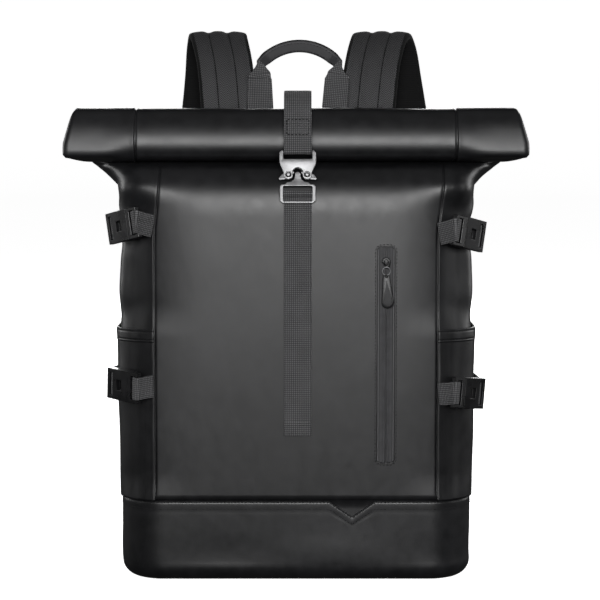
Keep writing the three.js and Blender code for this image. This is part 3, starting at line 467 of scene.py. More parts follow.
def addStitches(name, runs, length=2.2, radius=0.28):
    sides, rows = stitch["sides"], stitch["rows"]
    turn = fullTurn(sides)
    lengthwise = np.linspace(-1, 1, rows)
    swell = np.sqrt(np.clip(1.02 - lengthwise ** 2, 0.02, 1))[:, None] * radius
    local = np.stack([np.repeat(lengthwise * length / 2, sides), (swell * np.cos(turn)).ravel(),
                      (swell * np.sin(turn)).ravel()], 1)
    quads = gridQuads(rows, sides)[2]
    caps = [list(range(sides))[::-1], [(rows - 1) * sides + c for c in range(sides)]]
    points, faces, start = [], [], 0
    for path, outward in runs:
        joined = resample(np.hstack([path, np.broadcast_to(outward, path.shape)]), stitch["pitch"])
        at, out = joined[:, :3], unit(joined[:, 3:])[:-1]
        along = tangents(at)[:-1]
        at = (at[:-1] + at[1:]) / 2
        axes = np.stack([along, unit(np.cross(along, out)), out], 1)
        points.append((at[:, None] + local @ axes).reshape(-1, 3))
        offsets = start + np.arange(len(at)) * len(local)
        faces += (quads[None] + offsets[:, None, None]).reshape(-1, 4).tolist()
        faces += [[offset + v for v in cap] for offset in offsets.tolist() for cap in caps]
        start += len(at) * len(local)
    addPiece(name, faceOut(meshOf(name, np.vstack(points) * mm, faces)), "thread")


# tube of an elliptical section along a closed or open path; size is across and out of the surface
def tubeMesh(name, path, outward, size, sides=14, closed=False):
    along = unit(np.roll(path, -1, 0) - np.roll(path, 1, 0)) if closed else tangents(path)
    outward = squareTo(np.broadcast_to(outward, path.shape), along)
    across = np.cross(along, outward)
    turn = fullTurn(sides)
    reach = np.broadcast_to(np.asarray(size, float), (len(path), 2))
    grid = (path[:, None] + across[:, None] * (reach[:, :1] * np.cos(turn))[..., None]
            + outward[:, None] * (reach[:, 1:] * np.sin(turn))[..., None])
    if closed:
        return faceOut(mergeDoubles(gridMesh(name, np.concatenate([grid, grid[:1]]))))
    return faceOut(gridMesh(name, grid, poles=(True, True)))


# the bag's body; foldTable holds the gusset's slanted ridges where the straps draw the sides in and where the gusset
# opens out: amount, slope, the part of the slope that depends on the side, height and width
bag = dict(corner=38, wall=1.5, shoulder=323, seam=123, gusset=159, seamRoll=140, bootStep=2, bootEdge=14,
           bootWall=1.8, fit=0.3, rollHeight=50, rollDepth=45, rollRise=67, rollSetback=38, sheetGap=0.8, turnGap=1.0,
           turns=2.25, seamDepth=1.2, seamWidth=0.6, seamLean=5, rollSeam=1.5, cluster=(0.45, 0.9, 1.6, 2.8),
           full=5, droop=9.0, roundFrom=78, roundIn=4.2, endFrom=(143, 172), lap=0.7, lapAt=(139.6, 141.2))
foldTable = [(1.5, -1, 0.2, 333, 8), (-1.9, -0.8, 0, 322, 10), (-1.3, 0.5, 0, 292, 9), (0.9, -0.4, 0, 258, 16),
             (-0.8, 0.3, 0, 232, 10)]
halfWidth, halfDepth, bootTop = Vector(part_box("base_boot")[1]) / mm
rollHalf = (Vector(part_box("body_shell")[1]) / mm)[0]
rollZ = bag["shoulder"] + bag["rollRise"]
rollY = -halfDepth + bag["rollSetback"]
sheetWall = 2 * bag["wall"] + bag["sheetGap"]
turnPitch = sheetWall + bag["turnGap"]
rollStart = -90 + 5 * 360 / 14
# share of the way up the neck with the share of its widening, and angle round the roll with its share of full width
flare = np.array([(0, 0), (0.1, 0.01), (0.2, 0.07), (0.3, 0.3), (0.4, 0.56), (0.5, 0.76), (0.6, 0.88), (0.8, 0.96),
                  (1, 1)])
rollEnds = np.array([(rollStart, 0.936), (90, 0.951), (135, 0.975), (180, 1), (215, 1), (235, 0.968),
                     (252, 0.926), (270, 0.897), (310, 0.916)])


# spiral of the rolled sheet: an ellipse that shrinks by one pitch each turn, at a depth below its outer face
def spiral(degrees, depth):
    inset = turnPitch * (degrees - rollStart) / 360 + depth
    turn = np.radians(degrees)
    return pointsAt(rollY + (bag["rollDepth"] / 2 - inset) * np.cos(turn),
                    rollZ + (bag["rollHeight"] / 2 - inset) * np.sin(turn))


def bezier(points, t):
    a, b, c, d = np.asarray(points, float)
    t = np.asarray(t, float)[..., None]
    return (1 - t) ** 3 * a + 3 * (1 - t) ** 2 * t * b + 3 * (1 - t) * t ** 2 * c + t ** 3 * d


underRoll, sheetStart = spiral(-90.0, sheetWall), spiral(rollStart, 0.0)
tangent = np.array([math.sin(math.radians(rollStart)), -math.cos(math.radians(rollStart))])
frontNeck = [(-halfDepth, bag["shoulder"]), (-halfDepth, lerp(bag["shoulder"], underRoll[1], 0.75)),
             (lerp(-halfDepth, underRoll[0], 0.42), underRoll[1]), underRoll]
backNeck = [(halfDepth, bag["shoulder"]), (halfDepth, lerp(bag["shoulder"], rollZ, 0.33)),
            sheetStart + tangent * bag["rollHeight"] * 0.6, sheetStart]


# sections of the body from the base to the mouth in the roll: front and back points, half width, half depth, corner
# radius, the angle round the roll, which stays at its start below it, and the share of the way up the neck
def bodySections():
    inset = bag["bootWall"] + bag["fit"]
    edge = bag["bootEdge"] - inset
    turn = np.linspace(0, np.pi / 2, 7)
    bootHeight = bootTop + bag["fit"]
    wallUp = np.linspace(bag["bootEdge"], bootHeight, 9)[1:]
    rise = bag["bootStep"]
    above = rise + np.linspace(0, bag["shoulder"] - bootHeight - rise, 74)[1:]
    z = np.concatenate([inset + edge * (1 - np.cos(turn)), wallUp, bootHeight + rise * np.array([0.5, 1]),
                        bootHeight + above])
    sideIn = np.concatenate([inset + edge * (1 - np.sin(turn)), np.full(8, inset), [inset * 0.5],
                             np.zeros(1 + len(above))])
    passed = np.linspace(0, 1, 45)[1:]
    frontUp = np.where(passed[:, None] <= 0.5, bezier(frontNeck, np.minimum(passed * 2, 1)),
                       spiral(np.maximum(-90 + (passed - 0.5) * 2 * (rollStart + 90), -90), sheetWall))
    neckHalf = lerp(halfWidth, rollHalf * rollEnds[0, 1], np.interp(passed, *flare.T))
    angle = rollStart + np.linspace(0, 360 * bag["turns"], 88)[1:]
    front = np.vstack([pointsAt(-halfDepth + sideIn, z), frontUp, spiral(angle, sheetWall)])
    back = np.vstack([pointsAt(halfDepth - sideIn, z), bezier(backNeck, passed), spiral(angle, 0.0)])
    half = np.concatenate([halfWidth - sideIn, neckHalf, rollHalf * np.interp(angle, *rollEnds.T)])
    deep = np.linalg.norm(back - front, axis=1) / 2
    corner = np.concatenate([bag["corner"] - sideIn, np.full(len(passed) + len(angle), bag["corner"])])
    corner = np.minimum(corner, deep)
    around = np.concatenate([np.full(len(z) + len(passed), rollStart), angle])
    neck = np.concatenate([np.zeros(len(z)), passed, np.ones(len(angle))])
    return front, back, half, deep, corner, around, neck


# half of a rounded rectangle from the middle of its front to the middle of its back, at a share of that way:
# across, deep, the outward direction, and the way itself
def halfRing(half, deep, corner, way):
    a = half - corner
    b = a + np.pi / 2 * corner
    c = b + 2 * (deep - corner)
    d = c + np.pi / 2 * corner
    way = way * (d + a)
    t1, t2 = (np.clip((way - start) / corner, 0, np.pi / 2) for start in (a, c))
    across = np.where(way < a, way, np.where(way < c, a + corner * np.sin(t1), np.where(
        way < d, a + corner * np.cos(t2), d + a - way)))
    depth = np.where(way < b, -(deep - corner) - corner * np.cos(t1), np.where(
        way < c, -(deep - corner) + way - b, (deep - corner) + corner * np.sin(t2)))
    outAcross = np.where(way < c, np.sin(t1), np.cos(t2))
    outDeep = np.where(way < c, -np.cos(t1), np.sin(t2))
    return across, depth, outAcross, outDeep, way


# a whole ring from its left and right halves: the left one runs backwards
def bothHalves(left, right):
    return np.concatenate([left[..., :0:-1], right[..., :-1]], -1)


# the seam's distance from the middle of the front: both seams lean to the right under the roll, and in the roll
# they stand wider
def seamWay(z, neck, sign):
    low = bag["seam"] + sign * bag["seamLean"] * smoothStep(z, 300, 352)
    return lerp(low, bag["seamRoll"], smoothStep(neck, 0.3, 0.75))


# columns round half of the body as shares of its front panel, its gusset and its back panel: even runs, and a
# cluster at each seam
def ringColumns():
    cluster = np.array(bag["cluster"])
    front = np.concatenate([np.linspace(0, 1, 27)[:-1], 1 - cluster[::-1] / bag["seam"], [1]])
    gusset = np.concatenate([cluster / bag["gusset"], np.linspace(0, 1, 41)[1:-1],
                             1 - cluster[::-1] / bag["gusset"], [1]])
    back = np.concatenate([cluster / bag["seam"], np.linspace(0, 1, 21)[1:]])
    return front, gusset, back


# how far the front panel curves back towards its seams, and the sides with it
def panelRounding(x, y, z):
    toSeam = np.clip((np.abs(x) - bag["roundFrom"]) / (bag["seam"] - bag["roundFrom"]), 0, 1.25)
    onFront = 1 - smoothStep(y, bag["corner"] * 0.3 - halfDepth, bag["corner"] * 0.9 - halfDepth)
    return bag["roundIn"] * toSeam ** 2 * onFront * (1 - smoothStep(z, 325, 350)) * (
        0.45 + 0.55 * smoothStep(z, 215, 245)) * smoothStep(z, bootTop - 5, bootTop + 25)


def bagBody():
    front, back, half, deep, corner, turn, neck = bodySections()
    z = (front[:, 1] + back[:, 1]) / 2
    total = (2 * (half - corner) + np.pi * corner + 2 * (deep - corner))[:, None]
    onFront, onGusset, onBack = ringColumns()
    sides = []
    for sign in (-1, 1):
        seam = seamWay(z, neck, sign)[:, None] / total
        u, v, outU, outV, run = halfRing(half[:, None], deep[:, None], corner[:, None], np.concatenate(
            [seam * onFront, seam + (1 - 2 * seam) * onGusset, 1 - seam + seam * onBack], 1))
        off = np.minimum(np.abs(run - seam * total), np.abs(run - (1 - seam) * total))
        sides.append(np.stack([sign * u, v, sign * outU, outV, run, off]))
    u, v, outU, outV, run, off = bothHalves(*sides)
    side = np.sign(u)
    turn, neck, height = turn[:, None], neck[:, None], z[:, None]
    rolled = smoothStep(neck, 0.85, 1.0)

    # seams: a narrow groove between two low ridges
    groove = -bag["seamDepth"] * bell(off, 0, bag["seamWidth"]) + 0.15 * bell(off, 1.8, 0.9)
    seams = groove * smoothStep(height, bootTop + 4, bootTop + 12) * lerp(1, bag["rollSeam"], rolled)
    onSide = smoothStep(run, 128, 150) * (1 - smoothStep(run, 262, 300))
    slant = (run - 185) * 0.55
    folds = sum(amount * bell(height + slant * (slope + bySide * side), level, wide)
                for amount, slope, bySide, level, wide in foldTable) * onSide * (1 - smoothStep(neck, 0.2, 0.6))
    # the gusset's corner is squarer and fuller just under the neck
    folds = folds + bag["full"] * bell(height, 340, 13) * bell(run, 146, 17)
    level = smoothStep(height, 70, 130) * (1 - smoothStep(height, 280, 340))
    ripples = 0.7 * np.sin(height / 27 + side * 0.8) * np.sin(run / 21 + 1.2 * side) * onSide * level
    move = seams + folds + ripples
    u, v = u + outU * move, v + outV * move
    towards, middle = unit(back - front), (front + back) / 2
    y, h = (middle[:, k, None] + towards[:, k, None] * v for k in (0, 1))

    # the roll: end sections stand a little proud past the seam and are pressed to a soft edge low on their front
    ends = smoothStep(np.abs(u), *bag["endFrom"])
    lap = smoothStep(np.abs(u), *bag["lapAt"]) * bag["lap"]
    first = 1 - smoothStep(turn, rollStart + 330, rollStart + 370) * 0.6
    dent = (1.7 * bell(turn, 201, 13) - 1.3 * bell(turn, 160, 24) - 1.1 * bell(turn, 232, 18)) * ends
    sag = 0.5 * np.sin(u / 47 + 0.7) * bell(turn, 150, 60) + 0.35 * np.sin(u / 23) * bell(turn, 90, 40)
    shift = rolled * (dent + lap + sag) * first
    y = y + shift * np.cos(np.radians(turn))
    h = h + shift * np.sin(np.radians(turn))
    # its front hangs low: points in front of its middle sink with the square of how far they are in front
    ahead = np.clip((rollY - y) / bag["rollDepth"] * 2, 0, 1)
    h = h - bag["droop"] * ahead ** 2 * smoothStep(neck, 0.45, 0.75)
    grid = np.stack([u, y + panelRounding(u, y, h), h], 2)
    mesh = faceOut(gridMesh("bagBody", grid, poles=(True, False)))
    addWall(addPiece("bagBody", mesh, "coated", ["body_shell"]), bag["wall"] * 0.85)


bagBody()
print("body made")


# base boot: the same section, cupped, its top edge drawn down to a V right of the middle
boot = dict(notchX=49, notchHalf=20, notchDepth=14, rows=(1.4, 7.0), halfRound=405.4, flatIn=60)


def bootEdge(x, onFront):
    drop = boot["notchDepth"] * np.clip(1 - np.abs(x - boot["notchX"]) / boot["notchHalf"], 0, 1)
    return bootTop - drop * onFront


def baseBoot():
    edge, corner = bag["bootEdge"], bag["corner"]
    # columns also at the notch's three corners
    notch = boot["notchX"] + boot["notchHalf"] * np.array([-1, 0, 1])[:, None] + [0, 1, -1]
    way = np.unique(np.round(np.concatenate([np.linspace(0, 1, 110), notch.ravel() / boot["halfRound"]]), 5))
    turn = np.linspace(0, np.pi / 2, 9)
    flat = np.linspace(boot["flatIn"], edge, 5)[:-1]
    ins = np.concatenate([flat, edge * (1 - np.sin(turn)), np.zeros(22)])[:, None]
    up = np.concatenate([0 * flat, edge * (1 - np.cos(turn)), np.zeros(22)])[:, None]
    share = np.concatenate([np.zeros(13), np.linspace(0, 1, 23)[1:]])[:, None]
    ring = np.stack(halfRing(halfWidth - ins, halfDepth - ins, np.maximum(corner - ins, 4), way[None])[:4])
    u, v, outU, outV = bothHalves(ring * np.array([-1, 1, -1, 1])[:, None, None], ring)
    onFront = (v < 0) & (np.abs(u) < halfWidth - corner + 1)
    top = bootEdge(u, onFront)
    z = np.where(share > 0, lerp(edge, top, share), up)
    below = top - z
    press = 0.22 * bell(below, 4.2, 1.6) - 0.28 * sum(bell(below, low, 0.9) for low in boot["rows"])
    sag = 0.5 * np.sin(u / 33 + 0.5) * bell(z, 26, 14) * smoothStep(z, 8, 20)
    move = (press + sag) * (share > 0)
    mesh = gridMesh("baseBoot", np.stack([u + outU * move, v + outV * move, z], 2), poles=(True, False))
    addWall(addPiece("baseBoot", faceOut(mesh), "coated", ["base_boot"]), bag["bootWall"] * 0.9)
    at = np.linspace(-1, 1, 900)
    u, v, outU, outV = halfRing(*np.array([halfWidth, halfDepth, corner]), np.abs(at))[:4]
    u, outU = u * np.sign(at), outU * np.sign(at)
    edgeZ = bootEdge(u, (v < 0) & (np.abs(u) < halfWidth - corner + 1))
    addStitches("bootStitches", [(pointsAt(u, v, edgeZ - low), pointsAt(outU, outV, 0)) for low in boot["rows"]])


baseBoot()
print("boot made")

# the bag's side in plan: corner arc from the front seam, flat side, and half the back corner's arc, as a share of
# that way, set out from the body
cornerArc = math.pi / 2 * bag["corner"]
sideFlat = 2 * (halfDepth - bag["corner"])
seamArc = bag["corner"] * math.asin((bag["corner"] - (halfWidth - bag["seam"])) / bag["corner"])
sideRun = cornerArc * 1.5 + sideFlat - seamArc


def sideWall(sign, share, out, z):
    way = seamArc + np.asarray(share, float) * sideRun
    onFront = way < cornerArc
    turn = np.where(onFront, way, np.maximum(way - cornerArc - sideFlat, 0)) / bag["corner"]
    reach = bag["corner"] + out
    x = halfWidth - bag["corner"] + reach * np.where(onFront, np.sin(turn), np.cos(turn))
    y = bag["corner"] - halfDepth + np.where(onFront, -reach * np.cos(turn), np.clip(
        way - cornerArc, 0, sideFlat) + reach * np.sin(turn))
    return pointsAt(sign * x, y, z)


# side pockets: the side's outline carried up, standing off more towards the middle of the top edge, with a
# turned hem along the top and two rows of stitches in it
pocket = dict(top=223, wall=1.4, bulge=2.0, hem=11, hemProud=0.55, rows=(2.2, 9.4), slack=0.5, sag=0.8)


def pocketGap(share, z):
    up = np.clip((z - bootTop - bag["fit"]) / (pocket["top"] - bootTop - bag["fit"]), 0, 1)
    return bag["fit"] + pocket["bulge"] * up * np.sin(np.pi * share)


def sidePocket(name, sign):
    share = np.linspace(0, 1, 150)[None]
    low, top, hem = bootTop + bag["fit"], pocket["top"], pocket["hem"]
    z = np.concatenate([np.linspace(low, top - hem - 2, 90), np.linspace(top - hem - 1.4, top, 34)])[:, None]
    down = top - z
    fold = pocket["hemProud"] * smoothStep(-down, -hem - 0.4, -hem + 0.5)
    press = -0.3 * sum(bell(down, row, 0.7) for row in pocket["rows"])
    ends = smoothStep(share, 0, 0.03) * (1 - smoothStep(share, 0.97, 1))
    wave = np.sin(z / 19 + sign * 1.3) * np.sin(share * 11 + z / 40)
    slack = pocket["slack"] * wave * smoothStep(down, 12, 40) * smoothStep(z, low, low + 25)
    edgeFold = 0.5 * bell(share * sideRun, 1.6, 1.3)
    out = pocketGap(share, z) + pocket["wall"] + fold + press + (slack + edgeFold) * (0.3 + 0.7 * ends)
    sunk = pocket["sag"] * np.sin(np.pi * share) ** 2
    grid = sideWall(sign, share, out, z - sunk * smoothStep(z, low, top))
    grid[..., 1] += panelRounding(*np.moveaxis(grid, -1, 0))
    mesh = gridMesh(name, grid if sign > 0 else grid[:, ::-1], wrap=False)
    addWall(addPiece("sidePocket" + name, mesh, "coated", ["side_pocket_" + name.lower()]), pocket["wall"] * 0.85)
    runs = []
    at = np.linspace(0.015, 0.985, 300)
    for row in pocket["rows"]:
        level = top - row - pocket["sag"] * np.sin(np.pi * at) ** 2
        path = sideWall(sign, at, pocketGap(at, level) + pocket["wall"] + pocket["hemProud"] - 0.2, level)
        path[:, 1] += panelRounding(*path.T)
        runs.append((path, sideWall(sign, at, 1.0, 0.0) - sideWall(sign, at, 0.0, 0.0)))
    addStitches("pocketStitches" + name, runs)


sidePocket("Left", -1)
sidePocket("Right", 1)
print("side pockets made")


# plate of closed flat outlines in millimetres, the first one outside and the others holes, from low to high
# along its own Z, with its edges rounded, put into place by a matrix
def plateMesh(name, outlines, low, high, edge, place, resolution=3):
    data = bpy.data.curves.new(name, "CURVE")
    data.dimensions, data.fill_mode = "2D", "BOTH"
    data.extrude, data.bevel_depth, data.offset = ((high - low) / 2 - edge) * mm, edge * mm, -edge * mm
    data.bevel_resolution = resolution
    for outline in outlines:
        line = data.splines.new("POLY")
        line.points.add(len(outline) - 1)
        corners = np.ones((len(outline), 4))
        corners[:, :2], corners[:, 2] = np.asarray(outline) * mm, 0
        line.points.foreach_set("co", corners.ravel())
        line.use_cyclic_u = True
    holder = bpy.data.objects.new(name, data)
    mesh = bpy.data.meshes.new_from_object(holder)
    bpy.data.objects.remove(holder)
    bpy.data.curves.remove(data)
    mesh.transform(place @ Matrix.Translation((0, 0, (high + low) / 2 * mm)))
    mesh.name = name
    mesh.materials.clear()
    return faceOut(mergeDoubles(mesh))


# rounds the corners of a closed outline: each corner becomes an arc of the radius beside its point
def rounded(corners, count=6):
    points, radii = np.array([c[:2] for c in corners], float), np.array([c[2] for c in corners], float)
    after, before = np.roll(points, -1, 0) - points, np.roll(points, 1, 0) - points
    half = np.arccos(np.clip(np.einsum("ij,ij->i", unit(after), unit(before)), -1, 1)) / 2
    reach = np.minimum(np.linalg.norm(after, axis=1), np.linalg.norm(before, axis=1)) * 0.48
    cut = np.minimum(radii / np.maximum(np.tan(half), 1e-3), reach)[:, None]
    share = np.linspace(0, 1, count)[None, :, None]
    start, end = points + unit(before) * cut, points + unit(after) * cut
    arcs = ((1 - share) ** 2 * start[:, None] + 2 * share * (1 - share) * points[:, None]
            + share ** 2 * end[:, None])
    return arcs.reshape(-1, 2)


# the same for a line that is open: its first and last points stay as they are
def openCorners(corners, count=6):
    return rounded(corners, count)[count - 1:1 - count]


def roundedBox(x0, y0, x1, y1, radius, count=10):
    turn = np.linspace(0, np.pi / 2, count)
    corners = ((x1 - radius, y1 - radius), (x0 + radius, y1 - radius), (x0 + radius, y0 + radius),
               (x1 - radius, y0 + radius))
    return np.vstack([roundPoints(*corner, radius, turn + np.pi / 2 * i) for i, corner in enumerate(corners)])


def circle(x, y, radius, count=28):
    return roundPoints(x, y, radius, fullTurn(count))


# matrix of a frame whose X runs across, Y up a face and Z out of it
def facing(origin, up, out):
    across = np.cross(up, out)
    return Matrix([[across[i], up[i], out[i], origin[i] * mm] for i in range(3)] + [[0, 0, 0, 1]])


# the zip of the front pocket: a rounded rectangle of folded rim, two coated tapes that meet in the middle, a
# slider, a ring and a pull
zipper = dict(x=78, width=14.4, bottom=106, top=295, corner=3.0, rim=0.62, rimOut=0.25, proud=0.12, tapeProud=0.22,
              drop=13.8, stitchOut=2.0)


# closed line round the window, on the panel
def windowLine(out):
    w, h = zipper["width"] / 2 + out, (zipper["top"] - zipper["bottom"]) / 2 + out
    middle = [zipper["x"], (zipper["top"] + zipper["bottom"]) / 2]
    flat = roundedBox(-w, -h, w, h, zipper["corner"] + out, 16) + middle
    return pointsAt(flat[:, 0], -halfDepth - zipper["proud"], flat[:, 1])[np.arange(len(flat) + 1) % len(flat)]


def zipWindow():
    rim = resample(windowLine(zipper["rimOut"]), 0.8)[:-1]
    addPiece("zipRim", tubeMesh("zipRim", rim, frontward, (zipper["rim"], 0.5), closed=True), "coated")
    u = np.linspace(-1, 1, 61)[None] * zipper["width"] / 2
    v = np.linspace(zipper["bottom"], zipper["top"], 160)[:, None]
    # two tapes: raised over the coil beside the middle, a fine gap between them
    coil = 0.05 * np.sin(v / 0.75 * 2) * bell(np.abs(u), 1.3, 0.7)
    lift = 0.55 * bell(np.abs(u), 1.6, 1.3) - 0.75 * bell(u, 0, 0.3) + coil
    grid = pointsAt(zipper["x"] + u, -halfDepth - zipper["tapeProud"] - lift, v)
    addWall(addPiece("zipTape", gridMesh("zipTape", grid, wrap=False), "tape", ["zip_window"]), 0.5)
    addStitches("zipStitches", [(windowLine(zipper["stitchOut"]), frontward)], length=1.9, radius=0.42)


zipWindow()

slider = dict(width=8.4, height=10, wall=2.6, edge=1.1, hood=0.9, ring=3.4, wire=0.55, ringProud=3.2, pull=29,
              top=7.3, bottom=10.8, thick=1.9, lean=-3.5, tip=2.2, inlay=1.8, inlayTop=(1.5, -5.2))


def zipPieces():
    level = zipper["top"] - zipper["drop"]
    place = facing((zipper["x"], -halfDepth, level), np.array([0, 0, 1.0]), frontward)
    w, h = slider["width"] / 2, slider["height"] / 2
    turn = np.linspace(0, np.pi, 20)
    dome = np.vstack([rounded([(-w * 0.55, -h, 1.2), (w * 0.55, -h, 1.2), (w, h * 0.1, 2)])[:-6],
                      roundPoints(0, h - w, w, turn)])
    base = plateMesh("zipSlider", [dome], 0.1, slider["wall"], slider["edge"], place, 5)
    hood = roundPoints(0, 0, 1, turn * 2)[:-1] * [w * 0.5, h * 0.62] + [0, 0.6]
    bridge = plateMesh("bridge", [hood], slider["wall"] - slider["hood"], slider["wall"] + slider["hood"],
                       slider["hood"] - 0.05, place, 5)
    addPiece("zipSlider", joinMeshes("zipSlider", [base, bridge]), "plastic", ["zip_slider"])
    ringY, ringZ = -halfDepth - slider["ringProud"], level - h - slider["ring"] + 1.5
    flat = circle(zipper["x"], ringZ, slider["ring"], 48)
    ring = tubeMesh("zipRing", pointsAt(flat[:, 0], ringY, flat[:, 1]), frontward,
                    (slider["wire"], slider["wire"]), closed=True, sides=10)
    addPiece("zipRing", ring, "metal", ["zip_ring"])
    lean = math.radians(slider["lean"])
    place = facing((zipper["x"], ringY, ringZ - slider["ring"]), np.array([math.sin(lean), 0, math.cos(lean)]),
                   frontward)
    a, b, tip = slider["top"] / 2, slider["bottom"] / 2, slider["tip"]
    turn = np.linspace(np.pi, 2 * np.pi, 26)
    neck = rounded([(a, -3.0, 1.4), (tip, -0.2, 1.2), (-tip, -0.2, 1.2), (-a, -3.0, 1.4)])[3:-3]
    shape = np.vstack([roundPoints(0, b - slider["pull"], b, turn), neck])
    half = slider["thick"] / 2
    body = plateMesh("zipPull", [shape, circle(0, -1.2, 0.9, 16)], -half, half, 0.6, place)
    addPiece("zipPull", body, "plastic", ["zip_pull"])
    inX, inY = slider["inlayTop"]
    inner = np.vstack([roundPoints(0, b - slider["pull"], b - slider["inlay"], turn),
                       rounded([(a - inX, inY, 0.8), (-a + inX, inY, 0.8)])])
    addPiece("zipPullInlay", plateMesh("zipPullInlay", [inner], half - 0.3, half + 0.25, 0.2, place), "grip")


zipPieces()
print("zip made")

# the clasp: two cheek plates with a core between them, levers with ears, rivets, and the tongue with its frame;
# corners are across, up and radius, for the right half from the middle outwards
clasp = dict(width=31.8, drop=32.5, standoff=1.2, tilt=14, wall=4.8, plate=1.4, rivetX=8.1, rivet=1.9, lobe=4.4,
             slotLow=13.4, barTop=21.3, barHigh=2.0, barWall=2.4, neck=5.1, throat=(1.4, 1.75), tongueTop=2.5,
             frameTop=8.6, frameLow=24.9, rail=1.5, pinDrop=16.5, pin=0.9, room=0.45, edge=0.42, coreLow=7.6)
leverEar = [(2.6, 1.4, 0.5), (5.7, 0.2, 0.7), (8.5, -3.5, 0.6), (7.9, -4.7, 0.5), (2.8, -4.3, 0.4)]
# along the rivet as a share of half its length, with its radius there as a share
rivetShape = np.array([(-1, 0.45), (-0.97, 0.8), (-0.9, 0.97), (-0.8, 1), (-0.4, 1), (0, 1), (0.4, 1), (0.8, 1),
                       (0.9, 0.97), (0.97, 0.8), (1, 0.45)])
closing = dict(x=1.5, width=24, wall=1.5, lift=13, end=130, fit=0.3, hem=12, boxHigh=(391, 405), inset=2.6)
tilt = math.radians(clasp["tilt"])
claspUp = np.array([0, math.sin(tilt), math.cos(tilt)])
claspOut = np.array([0, -math.cos(tilt), math.sin(tilt)])
claspMiddle = np.array([closing["x"], -halfDepth + clasp["standoff"], rollZ - clasp["drop"]])
claspPlace = facing(claspMiddle, claspUp, claspOut)
webHalf = closing["width"] / 2 + clasp["room"]


# place up the clasp and out of it
def claspPoint(w, n):
    return claspMiddle + np.multiply.outer(w, claspUp) + np.multiply.outer(n, claspOut)


def arc(x, y, radius, start, end, count=16):
    return roundPoints(x, y, radius, np.radians(np.linspace(start, end, count)))


def bothSides(right):
    return np.vstack([right, (right * [-1, 1])[::-1]])


def crossBar(name, w, n, half, size):
    path = claspPoint(w, n) + np.outer(np.linspace(-half, half, 12), acrossX)
    return tubeMesh(name, path, claspOut, size)


def claspHousing():
    half, rivetX, slot, barTop = clasp["width"] / 2, clasp["rivetX"], clasp["slotLow"], clasp["barTop"]
    throatHigh, throatRoom = clasp["throat"]
    arm = openCorners([(12.6, 2, 0), (half, 10.2, 3), (half, 19.2, 0.8), (half - 2.6, 21.6, 0.7),
                       (webHalf, 20.6, 0.5), (webHalf, slot, 1.3), (0, slot, 0)])
    outline = bothSides(np.vstack([arc(0, throatHigh, clasp["neck"] / 2 + throatRoom, 90, 0),
                                   arc(rivetX, 0, clasp["lobe"], 205, 378), arm[:-1]]))
    high, low = clasp["wall"] / 2, clasp["plate"] / 2 + bag["fit"]
    outlines = [outline] + [circle(side * rivetX, 0, clasp["rivet"] + 0.5) for side in (-1, 1)]
    spans = ((low, high), (-high, -low))
    cheeks = [plateMesh("claspCheek", outlines, *span, clasp["edge"], claspPlace) for span in spans]
    core = [(half - 0.5, clasp["coreLow"], 0.5), (half - 0.5, barTop - 2, 1.2), (webHalf, barTop - 1, 0.5),
            (webHalf, slot + 0.2, 0.8)]
    core += [(-x, y, radius) for x, y, radius in core[::-1]]
    middle = plateMesh("claspCore", [rounded(core)], -low - 0.02, low + 0.02, 0.1, claspPlace)
    bar = crossBar("claspBar", barTop - clasp["barHigh"] / 2, 0, webHalf + 0.4,
                   (clasp["barHigh"] / 2, clasp["barWall"] / 2))
    addPiece("claspHousing", joinMeshes("claspHousing", [*cheeks, middle, bar]), "metal", ["clasp_housing"])


def claspLever(side, sign):
    rivetAt = sign * clasp["rivetX"]
    tip = clasp["neck"] / 2 + bag["fit"] + 0.1 - clasp["rivetX"]
    shape = np.vstack([rounded(leverEar), arc(0, 0, clasp["lobe"] * 0.85, -60, -160, 10),
                       rounded([(tip, 1, 0.5), (tip, 2.4, 0.6), (-2.2, 3.4, 0.8)])]) * [sign, 1] + [rivetAt, 0]
    half = clasp["plate"] / 2
    mesh = plateMesh("claspLever", [shape, circle(rivetAt, 0, clasp["rivet"] + bag["fit"])], -half, half, 0.3,
                     claspPlace)
    addPiece("claspLever" + side.capitalize(), mesh, "metal", ["clasp_lever_" + side], "lever_" + side)
    path = claspPoint(0, rivetShape[:, 0] * clasp["wall"] / 2 * 1.04) + rivetAt * acrossX
    mesh = tubeMesh("rivet", path, claspUp, rivetShape[:, [1, 1]] * clasp["rivet"], sides=28)
    addPiece("claspRivet" + side.capitalize(), mesh, "metal", ["clasp_rivet_" + side])


def claspTongue():
    half, neck, plate = clasp["width"] / 2 - 0.4, clasp["neck"] / 2, clasp["plate"] / 2
    top, low, rail = clasp["frameTop"], clasp["frameLow"], clasp["rail"]
    edge = openCorners([(neck, -1.5, 0), (neck + 0.7, -4.0, 2), (neck + 2.9, -6.2, 2), (9.0, -6.7, 1.5),
                        (11.0, -top, 2), (half - 1.5, -top, 1.5), (half, -top - 1.8, 1.5), (half, -low + 2.0, 1.2),
                        (half - 2.3, -low, 1.2), (0, -low, 0)])[:-1]
    outline = bothSides(np.vstack([arc(0, clasp["tongueTop"] - neck, neck, 90, 0, 10), edge]))
    window = roundedBox(-webHalf, -low + rail, webHalf, -top - rail, 0.9, 6)
    body = plateMesh("claspTongue", [outline, window], -plate, plate, 0.35, claspPlace)
    pin = crossBar("claspPin", -clasp["pinDrop"], -clasp["pin"], half - 1, (clasp["pin"], clasp["pin"]))
    addPiece("claspTongue", joinMeshes("claspTongue", [body, pin]), "metal", ["clasp_tongue"])


claspHousing()
claspLever("left", -1)
claspLever("right", 1)
claspTongue()
print("clasp made")


# half loop of webbing round a bar, from its front over the given side to its back
def barLoop(w, n, reachW, reachN, sign):
    turn = np.linspace(0, np.pi, 20)
    return claspPoint(w + sign * reachW * np.sin(turn), n + reachN * np.cos(turn))


